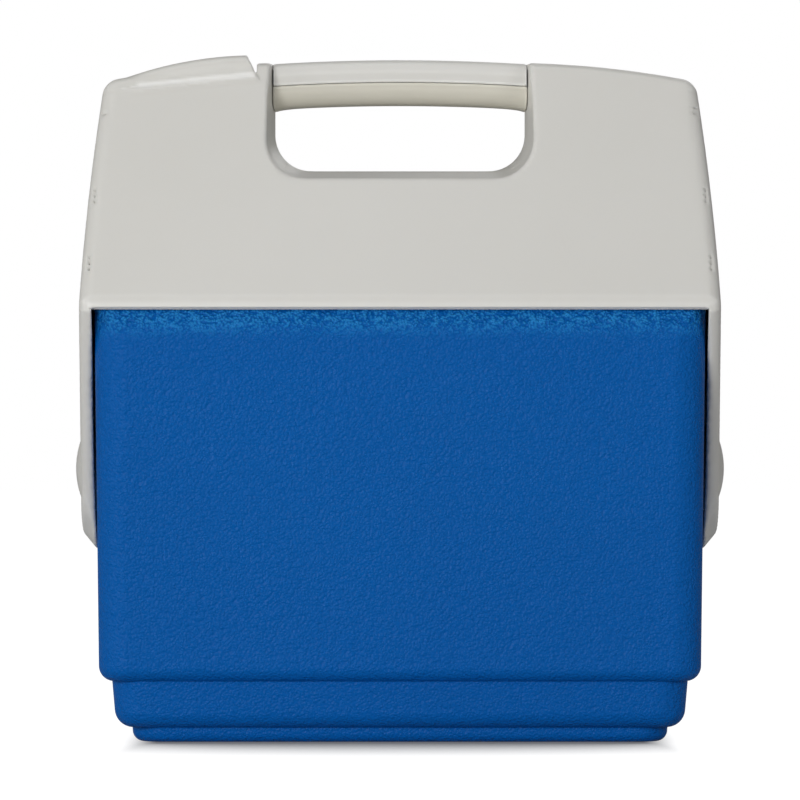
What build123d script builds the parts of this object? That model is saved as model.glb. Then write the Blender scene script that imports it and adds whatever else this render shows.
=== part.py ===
"""A hand-carried vaccine carrier: an insulated tub closed by a tent-shaped swing lid.

X runs along the carry handle, Y from front to back and Z up. The origin is the middle of the
underside. The lid and its two side arms turn about one axis along X through the pivots. A thumb
button on the ridge rocks a latch lever whose tooth drops into a keeper in the tub's left arch.
Lengths are millimetres.
"""

from build123d import *
from math import acos, atan2, cos, pi, radians, sin, sqrt, tan
import os

# ---- Overall size: the rest follows these three ----
ARM_HALF_WIDTH = 150.2          # end faces at the arms' lowest point
TUB_HALF_DEPTH = 103.0          # front and rear walls at the rim
HUMP_HEIGHT = 319.8             # top of the release button's housing, the highest point

# ---- Tub: outer shell ----
ARM_REACH = 9.7                 # from the tub's end walls out to the arms' lowest point
TUB_CORNER = 16.0               # upright corners, seen from above
TUB_DRAFT = 0.7                 # degrees, each wall
SHELL_WALL = 2.5
PIVOT_DROP = 72.7               # from the lid's lower edge down to the pivots
ARCH_REACH = 20.2               # rims and arches, past the front wall, about the pivot axis
RIM_ROUND = 30.0                # front and rear walls turning into the rim
RIM_OVERHANG = 0.3              # the rim's outline, outside the front and rear walls
LIP_WIDTH = 12.0                # shell lip around the mouth
LIP_CUT = 8.0                   # the mouth is cut from this far below the rim

# ---- Tub: three-tier base ----
TIER_1_BOTTOM = 28.3
TIER_1_ROUND = 7.0
TIER_2_INSET = 7.1              # from the wall above, each side
TIER_2_BOTTOM = 6.8
TIER_2_ROUND = 8.5
TIER_2_DRAFT = 5.0
TIER_3_INSET = 16.2
TIER_3_ROUND = 5.0
TIER_3_DRAFT = 4.0
TIER_LAP = 8.0                  # each lower tier starts this far up inside the one above

# ---- Tub: liner and plug ----
INSULATION = 20.0               # tub's outside to the cold chamber, each wall
CAVITY_CORNER = 22.0
CAVITY_DRAFT = 1.0
CAVITY_FLOOR = 24.0
CAVITY_FLOOR_ROUND = 10.0
LINER_WALL = 2.2
LINER_FIT = 0.2                 # liner flange inside the shell lip
FILL_PLUG_RADIUS = 9.0
FILL_PLUG_FIT = 0.15
FILL_PLUG_RECESS = 0.7
FILL_PLUG_DEPTH = 6.0
FILL_PLUG_CHAMFER = 0.5

# ---- Pivots ----
PIN_RADIUS = 7.0
PIN_RUNNING_FIT = 0.05
PIN_GRIP = 13.5                 # the pin's length inside the tub's outline
PIN_CHAMFER = 1.0
PIN_END_FIT = 0.3
BARB_STEP = 0.6                 # the barb, over the pin
BARB_INSET = 11.5               # the barb's start, inside the tub's outline
PIN_BARB_WIDTH = 2.0
BARB_SIDE_FIT = 0.15
BARB_END_FIT = 0.2
HEAD_RADIUS = 18.0
HEAD_EDGE = 1.5
HEAD_DOME = 4.2
HEAD_FIT = 0.3
SOCKET_WALL = 4.0
SOCKET_DEPTH = 15.5
SOCKET_PROUD = 0.6
SOCKET_FIT = 0.1
WASHER_RIM = 2.0                # the washer, over the socket
WASHER_FIT = 0.3

# ---- Lid: hood and arms ----
LID_OVERHANG = 1.0              # lower edge, over the tub's front and rear walls
LIP_HEIGHT = 5.5                # upright band along the lid's lower edge
CREST_HALF_DEPTH = 25.0         # tent faces, measured at the crest
TENT_HOLLOW = 1.2               # how far the tent faces bow inwards
CREST_RISE = 16.0               # the tent faces run on this far past the crest
LIP_FOOT_ROUND = 6.2
LIP_TOP_ROUND = 6.2
HUMP_RISE = 3.4                 # the housing's top over the ridge
CREST_DROP = 9.4                # from the ridge down to the crest
SHOULDER_DROP = 9.2             # from the ridge down to where it would meet the end face
RIDGE_RISE = 67.9               # from the tub's arches up to the ridge
BROW_LENGTH = 89.8              # from the shoulder to the level part of the ridge
SHOULDER_ROUND = 8.0
BOW_SHIFT = 2.7                 # the end faces' bow, above half way up them
SHOULDER_LEAN = 4.5             # the end faces lean in by this from the bow to the shoulder
BOW_LEAN = 2.9                  # from the lower edge to the bow
ARM_LEAN = 3.0                  # and from the arms' lowest point to the lower edge
ARM_END_RADIUS = 38.4           # about the pivot axis
LID_EDGE_ROUND = 6.0
LID_WALL = 2.5
ARM_GAP = 2.3                   # between the tub's end walls and the arms' inner rims
BOSS_RIM = 2.0                  # the arm's boss, over the pin's head

# ---- Lid: hand opening and handle ----
GRIP_HALF_WIDTH = 59.1          # half the opening at the middle plane
GRIP_DROP = 50.6                # from the ridge down to its floor there
GRIP_CORNER = 17.0
MOUTH_SPREAD = 1.8              # how much wider, lower and rounder it is at its mouths
MOUTH_FALL = 5.4
MOUTH_CORNER_GAIN = 1.0
MOUTH_SETBACK = 4.5             # of the mouths, from half way down the tent faces
BAR_HALF_DEPTH = 13.0
BAR_END_GAP = 0.4
BAR_PROUD = 0.4                 # the bar's ends, over the ridge
CAP_THICK = 11.4
GRIP_THICK = 11.2
BAR_CAMBER = 1.8                # rise from the ends to the middle
BAR_SEAM_GAP = 0.3
CAP_ROUND = 6.0
BAR_ROUND = 8.0
TONGUE_LENGTH = 6.4
TONGUE_HALF_DEPTH = 8.0
TONGUE_HEIGHT = 7.0
TONGUE_FIT = 0.3
TONGUE_ROOT = 2.0               # length buried in the bar
TONGUE_DROP = 1.0               # from the seam down to the tongue
BAR_SCREW_SPACING = 84.0
BAR_SCREW_LENGTH = 15.0
BAR_SCREW_SEAT = 4.0            # above the bar's underside

# ---- Lid: liner ----
RIM_CLEARANCE = 1.8             # the liner's concave underside, over the tub's arches
LID_LINER_WALL = 2.2
LID_LINER_LAP = 0.5             # past the tub's end walls
LID_LINER_FIT = 0.3
LID_LINER_EDGE = 1.0            # above the lid's lower edge
LINER_SCREW_INSET = 40.5        # the end screws, from the tub's end walls
LINER_SCREW_ANGLE = 14.0        # degrees about the pivot axis from upright
MIDDLE_SCREW_X = 35.0
LINER_SCREW_LENGTH = 10.0
LINER_PAD_RADIUS = 6.0
LINER_PAD_HEIGHT = 3.0          # screw pads, over the liner's upper face
LINER_HEAD_RECESS = 0.4         # screw heads, inside the liner's underside
POST_RADIUS = 4.5
POST_SINK = 1.3                 # the middle posts end this far inside the opening's floor

# ---- Screws ----
SCREW_RADIUS = 1.6
SCREW_HEAD_RADIUS = 3.3
SCREW_HEAD_HEIGHT = 2.0
DRIVE_RADIUS = 1.2
DRIVE_DEPTH = 1.2
DRIVE_SHARE = 0.6               # largest drive socket, as a share of the head
SCREW_HEAD_EDGE = 0.5
SCREW_HOLE_FIT = 0.2
SCREW_HEAD_FIT = 0.3

# ---- Release button and its housing on the ridge ----
HUMP_END_GAP = 4.8              # from the shoulder in to the housing's left end
HUMP_MIDDLE_RUN = 35.0          # from its left end to the middle point of its top arc
HUMP_FALL = 13.0                # its left end, its middle and its slant's foot, below its top
HUMP_MIDDLE_FALL = 2.9
SLANT_FALL = 8.4
SLANT_RUN = 3.8                 # length of the slanted right end
HUMP_ROOT = 15.4                # it reaches this far below the foot of its slant
HUMP_HALF_DEPTH = 19.6
HUMP_SPREAD = 4.0               # flare of each side towards the left end
HUMP_FLARE_RUN = 13.0           # from the left end to the full flare
HUMP_NOSE_ROUND = 10.0
HUMP_TOP_ROUND = 4.0
HUMP_FOAM_GAP = 2.0             # from the foam up to the hump's foot
POST_WIDTH = 8.3                # handle post, between the housing and the hand opening
NOTCH_WIDTH = 0.6               # from the foot of the slant to the handle post
BUTTON_HALF_DEPTH = 13.0
BUTTON_SIDE_GAP = 0.5
BUTTON_EDGE_GAP = 0.4
BUTTON_INSET = 9.0              # from the housing's left end
BUTTON_FOOT_GAP = 1.6
BUTTON_WALL = 2.4
HINGE_INSET = 4.0               # the button's hinge, from its left end
HINGE_DROP = 3.3                # and below the housing's left end
BUTTON_BARREL = 4.2
BUTTON_PIN_RADIUS = 2.0
BUTTON_SLOT_GAP = 2.0           # under the button's barrel
CROSS_PIN_SEAT = 1.0            # the button's and the lever's pins, into the chamber's walls
PUSH_HALF = 2.0
PUSH_HALF_DEPTH = 4.0

# ---- Latch ----
CHAMBER_SIDE = 3.0              # from the button's sides to the chamber's walls
CHAMBER_WALL = 2.0
TOOTH_INSET = 7.0               # from the tub's end wall
LEVER_ARM = 21.5                # from the tooth to the lever's pivot
LEVER_TAIL = 16.0               # from there to the button's push post
LEVER_END = 4.0                 # and on to the lever's end
LEVER_LIFT = 13.5               # the lever's pivot, over the tub's arch
LEVER_HALF_THICK = 2.0
LEVER_HALF_DEPTH = 6.0
LEVER_BARREL = 4.0
LEVER_PIN_RADIUS = 1.5
LATCH_GAP = 0.3
TOOTH_HALF = 2.0
TOOTH_HALF_DEPTH = 4.0
TOOTH_SLOT_END = 4.0            # the liner's slot around the tooth
TOOTH_SLOT_SIDE = 2.0
SPRING_ARM = 12.0               # from the lever's pivot
SPRING_RISE = 18.0              # from the lever's pivot up to the spring's shelf
SPRING_RADIUS = 2.8
SPRING_WIRE = 0.5
SPRING_TURNS = 5
SPRING_END_GAP = 0.2
SHELF_THICK = 2.0
SHELF_HALF = 6.0
KEEPER_SIDE_WALL = 1.2          # beside the notch
KEEPER_WEB = 1.0                # from the notch to the screws' recesses
KEEPER_END_WALL = 0.9           # beyond them
KEEPER_HEIGHT = 8.0
KEEPER_FIT = 0.1
KEEPER_NOTCH_CLEARANCE = 0.6
KEEPER_NOTCH_DEPTH = 4.5
KEEPER_BOSS_HEIGHT = 10.0
KEEPER_BOSS_WALL = 0.8
KEEPER_BOSS_END = 3.0
KEEPER_SCREW_RADIUS = 0.9
KEEPER_SCREW_HEAD = 1.8
KEEPER_SCREW_HEAD_HEIGHT = 1.2
KEEPER_HEAD_FIT = 0.2
KEEPER_SCREW_LENGTH = 12.0

# ---- Modelling ----
BEYOND = 200.0                  # reach of long cutting solids
OVERRUN = 5.0                   # how far short ones run past a face
NEAR = 0.01                     # tolerance when picking by place
ALONG_X = 0.95                  # direction cosine of edges along X

# ---- Worked out: widths ----
TUB_HALF_WIDTH = ARM_HALF_WIDTH - ARM_REACH
CAVITY_HALF_WIDTH = TUB_HALF_WIDTH - INSULATION
HOOD_HALF_WIDTH = ARM_HALF_WIDTH - ARM_LEAN           # end faces at the lid's lower edge
END_BOW_HALF_WIDTH = HOOD_HALF_WIDTH - BOW_LEAN
SHOULDER_HALF_WIDTH = END_BOW_HALF_WIDTH - SHOULDER_LEAN
RIDGE_FLAT = SHOULDER_HALF_WIDTH - BROW_LENGTH        # half length of the level part
ARM_INNER = TUB_HALF_WIDTH + ARM_GAP
LID_LINER_HALF_WIDTH = TUB_HALF_WIDTH + LID_LINER_LAP
LINER_SCREW_X = TUB_HALF_WIDTH - LINER_SCREW_INSET
MOUTH_HALF_WIDTH = GRIP_HALF_WIDTH + MOUTH_SPREAD
MOUTH_CORNER = GRIP_CORNER + MOUTH_CORNER_GAIN
POST_FACE = -GRIP_HALF_WIDTH - POST_WIDTH             # left face of the left handle post
HUMP_FOOT = POST_FACE - NOTCH_WIDTH                   # foot of the slanted right end
HUMP_RIGHT = HUMP_FOOT - SLANT_RUN
HUMP_LEFT = HUMP_END_GAP - SHOULDER_HALF_WIDTH
HUMP_MIDDLE = HUMP_LEFT + HUMP_MIDDLE_RUN
HUMP_FLARE_X = HUMP_LEFT + HUMP_FLARE_RUN
BUTTON_LEFT = HUMP_LEFT + BUTTON_INSET
BUTTON_HINGE_X = BUTTON_LEFT + HINGE_INSET
TOOTH_X = TOOTH_INSET - TUB_HALF_WIDTH
LEVER_PIVOT_X = TOOTH_X + LEVER_ARM
PUSH_X = LEVER_PIVOT_X + LEVER_TAIL
LEVER_RIGHT = PUSH_X + LEVER_END
SPRING_X = LEVER_PIVOT_X - SPRING_ARM
KEEPER_HALF_WIDTH = TOOTH_HALF + KEEPER_NOTCH_CLEARANCE + KEEPER_SIDE_WALL

# ---- Worked out: depths ----
CAVITY_HALF_DEPTH = TUB_HALF_DEPTH - INSULATION
RIM_RADIUS = TUB_HALF_DEPTH + ARCH_REACH
LID_HALF_DEPTH = TUB_HALF_DEPTH + LID_OVERHANG
MOUTH_DEPTH = (LID_HALF_DEPTH + CREST_HALF_DEPTH) / 2 - MOUTH_SETBACK
HUMP_FLARE = HUMP_HALF_DEPTH + HUMP_SPREAD
CHAMBER_HALF_DEPTH = BUTTON_HALF_DEPTH + CHAMBER_SIDE
CROSS_PIN_HALF = CHAMBER_HALF_DEPTH + CROSS_PIN_SEAT
KEEPER_SCREW_Y = (TOOTH_HALF_DEPTH + KEEPER_NOTCH_CLEARANCE + KEEPER_WEB + KEEPER_SCREW_HEAD
                  + KEEPER_HEAD_FIT)
KEEPER_HALF_DEPTH = KEEPER_SCREW_Y + KEEPER_SCREW_HEAD + KEEPER_HEAD_FIT + KEEPER_END_WALL

# ---- Worked out: heights ----
RIDGE_HEIGHT = HUMP_HEIGHT - HUMP_RISE
RIM_CREST = RIDGE_HEIGHT - RIDGE_RISE                 # top of the tub's arches
PIVOT_HEIGHT = RIM_CREST - RIM_RADIUS                 # axis of the two lid pivots
RIM_HEIGHT = PIVOT_HEIGHT + PIVOT_DROP                # where the lid's lower edge closes
LID_EDGE_HEIGHT = RIM_HEIGHT
CREST_HEIGHT = RIDGE_HEIGHT - CREST_DROP
SHOULDER_HEIGHT = RIDGE_HEIGHT - SHOULDER_DROP
END_BOW_HEIGHT = (LID_EDGE_HEIGHT + SHOULDER_HEIGHT) / 2 + BOW_SHIFT
GRIP_FLOOR = RIDGE_HEIGHT - GRIP_DROP
MOUTH_FLOOR = GRIP_FLOOR - MOUTH_FALL
BAR_TOP = RIDGE_HEIGHT + BAR_PROUD
BAR_SEAM = BAR_TOP - CAP_THICK
BAR_BOTTOM = BAR_SEAM - GRIP_THICK                    # at the bar's ends
HUMP_LEFT_HEIGHT = HUMP_HEIGHT - HUMP_FALL
HUMP_MIDDLE_HEIGHT = HUMP_HEIGHT - HUMP_MIDDLE_FALL
HUMP_FOOT_HEIGHT = HUMP_HEIGHT - SLANT_FALL
HUMP_BOTTOM = HUMP_FOOT_HEIGHT - HUMP_ROOT
BUTTON_HINGE_Z = HUMP_LEFT_HEIGHT - HINGE_DROP
BUTTON_SKIRT = BUTTON_HINGE_Z
LEVER_PIVOT_Z = RIM_CREST + LEVER_LIFT
SPRING_SHELF = LEVER_PIVOT_Z + SPRING_RISE

# ---- Worked out: turned pieces and the liner ----
PIN_INNER_END = TUB_HALF_WIDTH - PIN_GRIP             # distance from the middle plane
PIN_BARB_START = TUB_HALF_WIDTH - BARB_INSET
PIN_BARB_RADIUS = PIN_RADIUS + BARB_STEP
SOCKET_RADIUS = PIN_RADIUS + SOCKET_WALL
WASHER_RADIUS = SOCKET_RADIUS + WASHER_RIM
ARM_BOSS_RADIUS = HEAD_RADIUS + BOSS_RIM
LID_LINER_RADIUS = RIM_RADIUS + RIM_CLEARANCE
LINER_OUTER_RADIUS = LID_LINER_RADIUS + LID_LINER_WALL
POST_BASE_RADIUS = LINER_OUTER_RADIUS + LINER_PAD_HEIGHT
TUB_AT_PIVOT = TUB_HALF_WIDTH - (RIM_HEIGHT - PIVOT_HEIGHT) * tan(radians(TUB_DRAFT))
SOCKET_FACE = TUB_AT_PIVOT + SOCKET_PROUD
PIVOT_AXIS = Axis((0, 0, PIVOT_HEIGHT), (1, 0, 0))
SIDES = {"left": -1, "right": 1}

os.makedirs("parts", exist_ok=True)


def save(block, label):
    """Label a finished piece and write it."""
    block.part.label = label
    export_step(block.part, f"parts/{label}.step")


# ---------------------------------------------------------------- tub outlines

def tier(half_width, half_depth, corner, top, bottom, draft, foot_round):
    """A drafted block with rounded upright corners and a rounded lower edge."""
    with BuildPart() as block:
        with BuildSketch(Plane(origin=(0, 0, top), z_dir=(0, 0, -1))):
            RectangleRounded(2 * half_width, 2 * half_depth, corner)
        extrude(amount=top - bottom, taper=draft)
        fillet(block.edges().group_by(Axis.Z)[0], foot_round)
    return block.part


def mouth_prism(half_width, half_depth, corner, bottom):
    """An upright prism from a height in the tub to above its arches."""
    with BuildPart() as prism:
        with BuildSketch(Plane.XY.offset(bottom)):
            RectangleRounded(2 * half_width, 2 * half_depth, corner)
        extrude(amount=RIM_CREST + OVERRUN - bottom)
    return prism.part


def under_rim(inset):
    """Everything under the rims and arches, inset from their surface."""
    radius = RIM_RADIUS - inset
    half_depth = TUB_HALF_DEPTH + RIM_OVERHANG - inset
    corner_height = PIVOT_HEIGHT + sqrt(radius**2 - half_depth**2)
    with BuildPart() as mask:
        with BuildSketch(Plane.YZ) as outline:
            with Locations((0, PIVOT_HEIGHT)):
                Circle(radius)
                Rectangle(2 * half_depth, 2 * radius, mode=Mode.INTERSECT)
            with Locations((0, PIVOT_HEIGHT / 2)):
                Rectangle(2 * half_depth, PIVOT_HEIGHT)
            rim_corners = outline.vertices().filter_by(lambda v: abs(v.Y - corner_height) < NEAR)
            fillet(rim_corners, RIM_ROUND - inset)
        extrude(amount=BEYOND, both=True)
    return mask.part


def tub_outside(inset):
    """The tub's outer form, inset by a wall where wanted: three tiers and two arches."""
    half_width = TUB_HALF_WIDTH - inset
    half_depth = TUB_HALF_DEPTH - inset
    corner = TUB_CORNER - inset
    second = TIER_2_INSET
    third = TIER_3_INSET
    upper = tier(half_width, half_depth, corner, RIM_HEIGHT, TIER_1_BOTTOM + inset, TUB_DRAFT,
                 TIER_1_ROUND - inset)
    middle = tier(half_width - second, half_depth - second, corner, TIER_1_BOTTOM + TIER_LAP,
                  TIER_2_BOTTOM + inset, TIER_2_DRAFT, TIER_2_ROUND - inset)
    lower = tier(half_width - third, half_depth - third, corner, TIER_2_BOTTOM + TIER_LAP,
                 inset, TIER_3_DRAFT, TIER_3_ROUND - inset)
    arches = mouth_prism(half_width, half_depth, corner, RIM_HEIGHT)
    mask = under_rim(inset)
    with BuildPart() as outside:
        add(upper)
        add(middle)
        add(lower)
        add(arches)
        add(mask, mode=Mode.INTERSECT)
    return outside.part


def cavity(grow):
    """The cold chamber, or the liner's outer form when grown by its wall."""
    top = RIM_CREST + OVERRUN
    spread = (top - RIM_HEIGHT) * tan(radians(CAVITY_DRAFT))
    return tier(CAVITY_HALF_WIDTH + spread + grow, CAVITY_HALF_DEPTH + spread + grow,
                CAVITY_CORNER + grow, top, CAVITY_FLOOR - grow, CAVITY_DRAFT,
                CAVITY_FLOOR_ROUND + grow)


# ---------------------------------------------------------------- lid outlines

def lid_block(inset, edge_round):
    """The hood and both arms as one solid block, inset by a wall where wanted."""
    lip_foot = Vector(LID_HALF_DEPTH, LID_EDGE_HEIGHT)
    pivot = Vector(0, PIVOT_HEIGHT)
    reach = (lip_foot - pivot).length
    leave = atan2(lip_foot.Y - pivot.Y, lip_foot.X) - acos(ARM_END_RADIUS / reach)
    half_way = (leave - pi / 2) / 2
    with BuildSketch(Plane.YZ) as side_view:
        with BuildLine():
            end = ThreePointArc(pivot - Vector(0, ARM_END_RADIUS),
                                pivot + Vector(cos(half_way), sin(half_way)) * ARM_END_RADIUS,
                                pivot + Vector(cos(leave), sin(leave)) * ARM_END_RADIUS)
            shield = Line(end @ 1, lip_foot)
            lip = Line(shield @ 1, lip_foot + Vector(0, LIP_HEIGHT))
            crest = Vector(CREST_HALF_DEPTH, CREST_HEIGHT)
            slope = (crest - (lip @ 1)).normalized()
            hollow = slope.rotate(Axis.Z, 90) * TENT_HOLLOW
            face = ThreePointArc(lip @ 1, (lip @ 1 + crest) * 0.5 + hollow, crest)
            above = Line(face @ 1, face @ 1 + (face % 1) * CREST_RISE)
            Line(above @ 1, (0, (above @ 1).Y))
            mirror(about=Plane.YZ)
        make_face()
        brink = side_view.vertices().filter_by(lambda v: abs(v.X) > LID_HALF_DEPTH - NEAR)
        fillet(brink.filter_by(lambda v: v.Y < LID_EDGE_HEIGHT + NEAR), LIP_FOOT_ROUND)
        brink = side_view.vertices().filter_by(
            lambda v: v.Y > LID_EDGE_HEIGHT + LIP_HEIGHT - NEAR and abs(v.X) > LID_HALF_DEPTH - NEAR)
        fillet(brink, LIP_TOP_ROUND)
        if inset:
            offset(amount=-inset, kind=Kind.INTERSECTION, mode=Mode.REPLACE)
    with BuildSketch(Plane.XZ) as front_view:
        with BuildLine():
            top = Line((0, RIDGE_HEIGHT), (RIDGE_FLAT, RIDGE_HEIGHT))
            brow = TangentArc([top @ 1, (SHOULDER_HALF_WIDTH, SHOULDER_HEIGHT)], tangent=(1, 0))
            end = ThreePointArc(brow @ 1, (END_BOW_HALF_WIDTH, END_BOW_HEIGHT),
                                (HOOD_HALF_WIDTH, LID_EDGE_HEIGHT))
            arm = Line(end @ 1, (ARM_HALF_WIDTH, PIVOT_HEIGHT - ARM_END_RADIUS))
            Polyline(arm @ 1, (ARM_HALF_WIDTH, PIVOT_HEIGHT - ARM_END_RADIUS - OVERRUN),
                     (0, PIVOT_HEIGHT - ARM_END_RADIUS - OVERRUN))
            mirror(about=Plane.YZ)
        make_face()
        shoulders = front_view.vertices().filter_by(
            lambda v: abs(abs(v.X) - SHOULDER_HALF_WIDTH) < NEAR)
        fillet(shoulders, SHOULDER_ROUND)
        if inset:
            offset(amount=-inset, kind=Kind.INTERSECTION, mode=Mode.REPLACE)
    with BuildPart() as block:
        extrude(side_view.sketch, amount=BEYOND, both=True)
        extrude(front_view.sketch, amount=BEYOND, both=True, mode=Mode.INTERSECT)
        if edge_round:
            rims = block.edges().filter_by(Axis.Y, reverse=True)
            rims = rims.filter_by(
                lambda e: e.center().Z > CREST_HEIGHT or abs(e.tangent_at(0.5).X) < ALONG_X)
            fillet(rims, edge_round)
    return block.part


def hand_opening(grow):
    """The U-shaped opening under the handle, open upwards and wider at both mouths."""
    stations = ((0, GRIP_HALF_WIDTH, GRIP_FLOOR, GRIP_CORNER),
                (MOUTH_DEPTH, MOUTH_HALF_WIDTH, MOUTH_FLOOR, MOUTH_CORNER))
    sections = []
    for depth, half_width, floor, corner in stations:
        height = RIDGE_HEIGHT + OVERRUN - floor + grow
        with BuildSketch(Plane.XZ.offset(depth)) as section:
            with Locations((0, floor - grow + height / 2)):
                Rectangle(2 * (half_width + grow), height)
            fillet(section.vertices().sort_by(Axis.Y)[:2], corner + grow)
        sections.append(section.sketch)
    with BuildPart() as opening:
        loft(sections)
        mirror(about=Plane.XZ)
    return opening.part


def hump_profile(foot_height):
    """Front view of the raised housing on the ridge, down to a level foot."""
    with BuildSketch(Plane.XZ) as profile:
        with BuildLine():
            top = ThreePointArc((HUMP_LEFT, HUMP_LEFT_HEIGHT), (HUMP_MIDDLE, HUMP_MIDDLE_HEIGHT),
                                (HUMP_RIGHT, HUMP_HEIGHT))
            Polyline(top @ 1, (HUMP_FOOT, HUMP_FOOT_HEIGHT), (HUMP_FOOT, foot_height),
                     (HUMP_LEFT, foot_height), top @ 0)
        make_face()
    return profile.sketch


def hump():
    """The raised housing of the release button, flared towards the end of the ridge."""
    with BuildPart() as housing:
        with BuildSketch(Plane.XY.offset(HUMP_BOTTOM)) as plan:
            with BuildLine():
                Polyline((HUMP_FOOT, -HUMP_HALF_DEPTH), (HUMP_FLARE_X, -HUMP_FLARE),
                         (HUMP_LEFT, -HUMP_FLARE), (HUMP_LEFT, HUMP_FLARE),
                         (HUMP_FLARE_X, HUMP_FLARE), (HUMP_FOOT, HUMP_HALF_DEPTH), close=True)
            make_face()
            fillet(plan.vertices().group_by(Axis.X)[0], HUMP_NOSE_ROUND)
        extrude(amount=HUMP_HEIGHT + OVERRUN - HUMP_BOTTOM)
        extrude(hump_profile(HUMP_BOTTOM), amount=BEYOND, both=True, mode=Mode.INTERSECT)
        crown = housing.edges().filter_by(
            lambda e: e.center().Z > HUMP_LEFT_HEIGHT - NEAR and abs(e.center().Y) > 1)
        fillet(crown, HUMP_TOP_ROUND)
    return housing.part


# ---------------------------------------------------------------- screws

def screw(seat, length, radius=SCREW_RADIUS, head=SCREW_HEAD_RADIUS, head_height=SCREW_HEAD_HEIGHT):
    """A pan-head screw whose head sits on the seat plane and whose shank runs the other way."""
    with BuildPart() as fastener:
        with BuildSketch(seat):
            Circle(head)
        extrude(amount=head_height)
        fillet(fastener.faces().sort_by(lambda f: f.center().dot(seat.z_dir))[-1].edges(),
               SCREW_HEAD_EDGE)
        with BuildSketch(seat):
            Circle(radius)
        extrude(amount=-length)
        with BuildSketch(seat.offset(head_height)):
            RegularPolygon(min(DRIVE_RADIUS, DRIVE_SHARE * head), 6)
        extrude(amount=-min(DRIVE_DEPTH, DRIVE_SHARE * head_height), mode=Mode.SUBTRACT)
    return fastener.part


def radial_plane(x, angle, radius):
    """A plane that faces the pivot axis from a given radius and angle from upright."""
    turn = radians(angle)
    outwards = Vector(0, sin(turn), cos(turn))
    return Plane(origin=Vector(x, 0, PIVOT_HEIGHT) + outwards * radius, x_dir=(1, 0, 0),
                 z_dir=-outwards)


# ---------------------------------------------------------------- tub pieces

shell_form = tub_outside(0)
shell_room = tub_outside(SHELL_WALL)
mouth = mouth_prism(TUB_HALF_WIDTH - LIP_WIDTH, TUB_HALF_DEPTH - LIP_WIDTH, TUB_CORNER,
                    RIM_HEIGHT - LIP_CUT)
rim_mask = under_rim(0)
lip_mask = under_rim(SHELL_WALL)

keeper_top = RIM_CREST
keeper_bottom = keeper_top - KEEPER_HEIGHT
keeper_boss_bottom = keeper_bottom - KEEPER_BOSS_HEIGHT
boss_half_width = KEEPER_HALF_WIDTH + KEEPER_BOSS_WALL
boss_half_depth = KEEPER_HALF_DEPTH + KEEPER_BOSS_END
keeper_screw_seat = keeper_top - KEEPER_NOTCH_DEPTH / 2
keeper_seats = [Plane(origin=(TOOTH_X, side * KEEPER_SCREW_Y, keeper_screw_seat))
                for side in SIDES.values()]

with BuildPart() as keeper_boss:
    with Locations((TOOTH_X, 0, keeper_boss_bottom)):
        Box(2 * boss_half_width, 2 * boss_half_depth, keeper_top - keeper_boss_bottom,
            align=(Align.CENTER, Align.CENTER, Align.MIN))
    add(lip_mask, mode=Mode.INTERSECT)

with BuildPart() as outer_shell:
    add(shell_form)
    add(shell_room, mode=Mode.SUBTRACT)
    add(mouth, mode=Mode.SUBTRACT)
    add(keeper_boss.part)
    for side in SIDES.values():
        with BuildSketch(Plane.YZ.offset(side * TUB_HALF_WIDTH)):
            with Locations((0, PIVOT_HEIGHT)):
                Circle(SOCKET_RADIUS + SOCKET_FIT)
        extrude(amount=-side * (SHELL_WALL + OVERRUN), mode=Mode.SUBTRACT)
    with Locations((TOOTH_X, 0, keeper_bottom)):
        Box(2 * (KEEPER_HALF_WIDTH + KEEPER_FIT), 2 * (KEEPER_HALF_DEPTH + KEEPER_FIT), BEYOND,
            align=(Align.CENTER, Align.CENTER, Align.MIN), mode=Mode.SUBTRACT)
    for seat in keeper_seats:
        with BuildSketch(seat):
            Circle(KEEPER_SCREW_RADIUS)
        extrude(amount=-KEEPER_SCREW_LENGTH, mode=Mode.SUBTRACT)
    with BuildSketch(Plane.XY):
        Circle(FILL_PLUG_RADIUS)
    extrude(amount=SHELL_WALL, mode=Mode.SUBTRACT)
save(outer_shell, "outer_shell")

liner_form = cavity(LINER_WALL)
chamber_form = cavity(0)
flange_form = mouth_prism(TUB_HALF_WIDTH - LIP_WIDTH - LINER_FIT, TUB_HALF_DEPTH - LIP_WIDTH - LINER_FIT,
                          TUB_CORNER - LINER_FIT, RIM_HEIGHT - LIP_CUT)
with BuildPart() as liner_flange:
    add(flange_form)
    add(lip_mask, mode=Mode.SUBTRACT)

with BuildPart() as inner_liner:
    add(liner_form)
    add(liner_flange.part)
    add(rim_mask, mode=Mode.INTERSECT)
    add(chamber_form, mode=Mode.SUBTRACT)
save(inner_liner, "inner_liner")

with BuildPart() as body_foam:
    add(shell_room)
    add(liner_form, mode=Mode.SUBTRACT)
    add(keeper_boss.part, mode=Mode.SUBTRACT)
    for side in SIDES.values():
        with BuildSketch(Plane.YZ.offset(side * SOCKET_FACE)):
            with Locations((0, PIVOT_HEIGHT)):
                Circle(SOCKET_RADIUS + SOCKET_FIT)
        extrude(amount=-side * (SOCKET_DEPTH + SOCKET_FIT), mode=Mode.SUBTRACT)
    with BuildSketch(Plane.XY):
        Circle(FILL_PLUG_RADIUS + FILL_PLUG_FIT)
    extrude(amount=FILL_PLUG_DEPTH + FILL_PLUG_FIT, mode=Mode.SUBTRACT)
save(body_foam, "body_foam")

with BuildPart() as foam_fill_plug:
    with BuildSketch(Plane.XY.offset(FILL_PLUG_RECESS)):
        Circle(FILL_PLUG_RADIUS - FILL_PLUG_FIT)
    extrude(amount=FILL_PLUG_DEPTH - FILL_PLUG_RECESS)
    chamfer(foam_fill_plug.edges().group_by(Axis.Z)[0], FILL_PLUG_CHAMFER)
save(foam_fill_plug, "foam_fill_plug")

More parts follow.
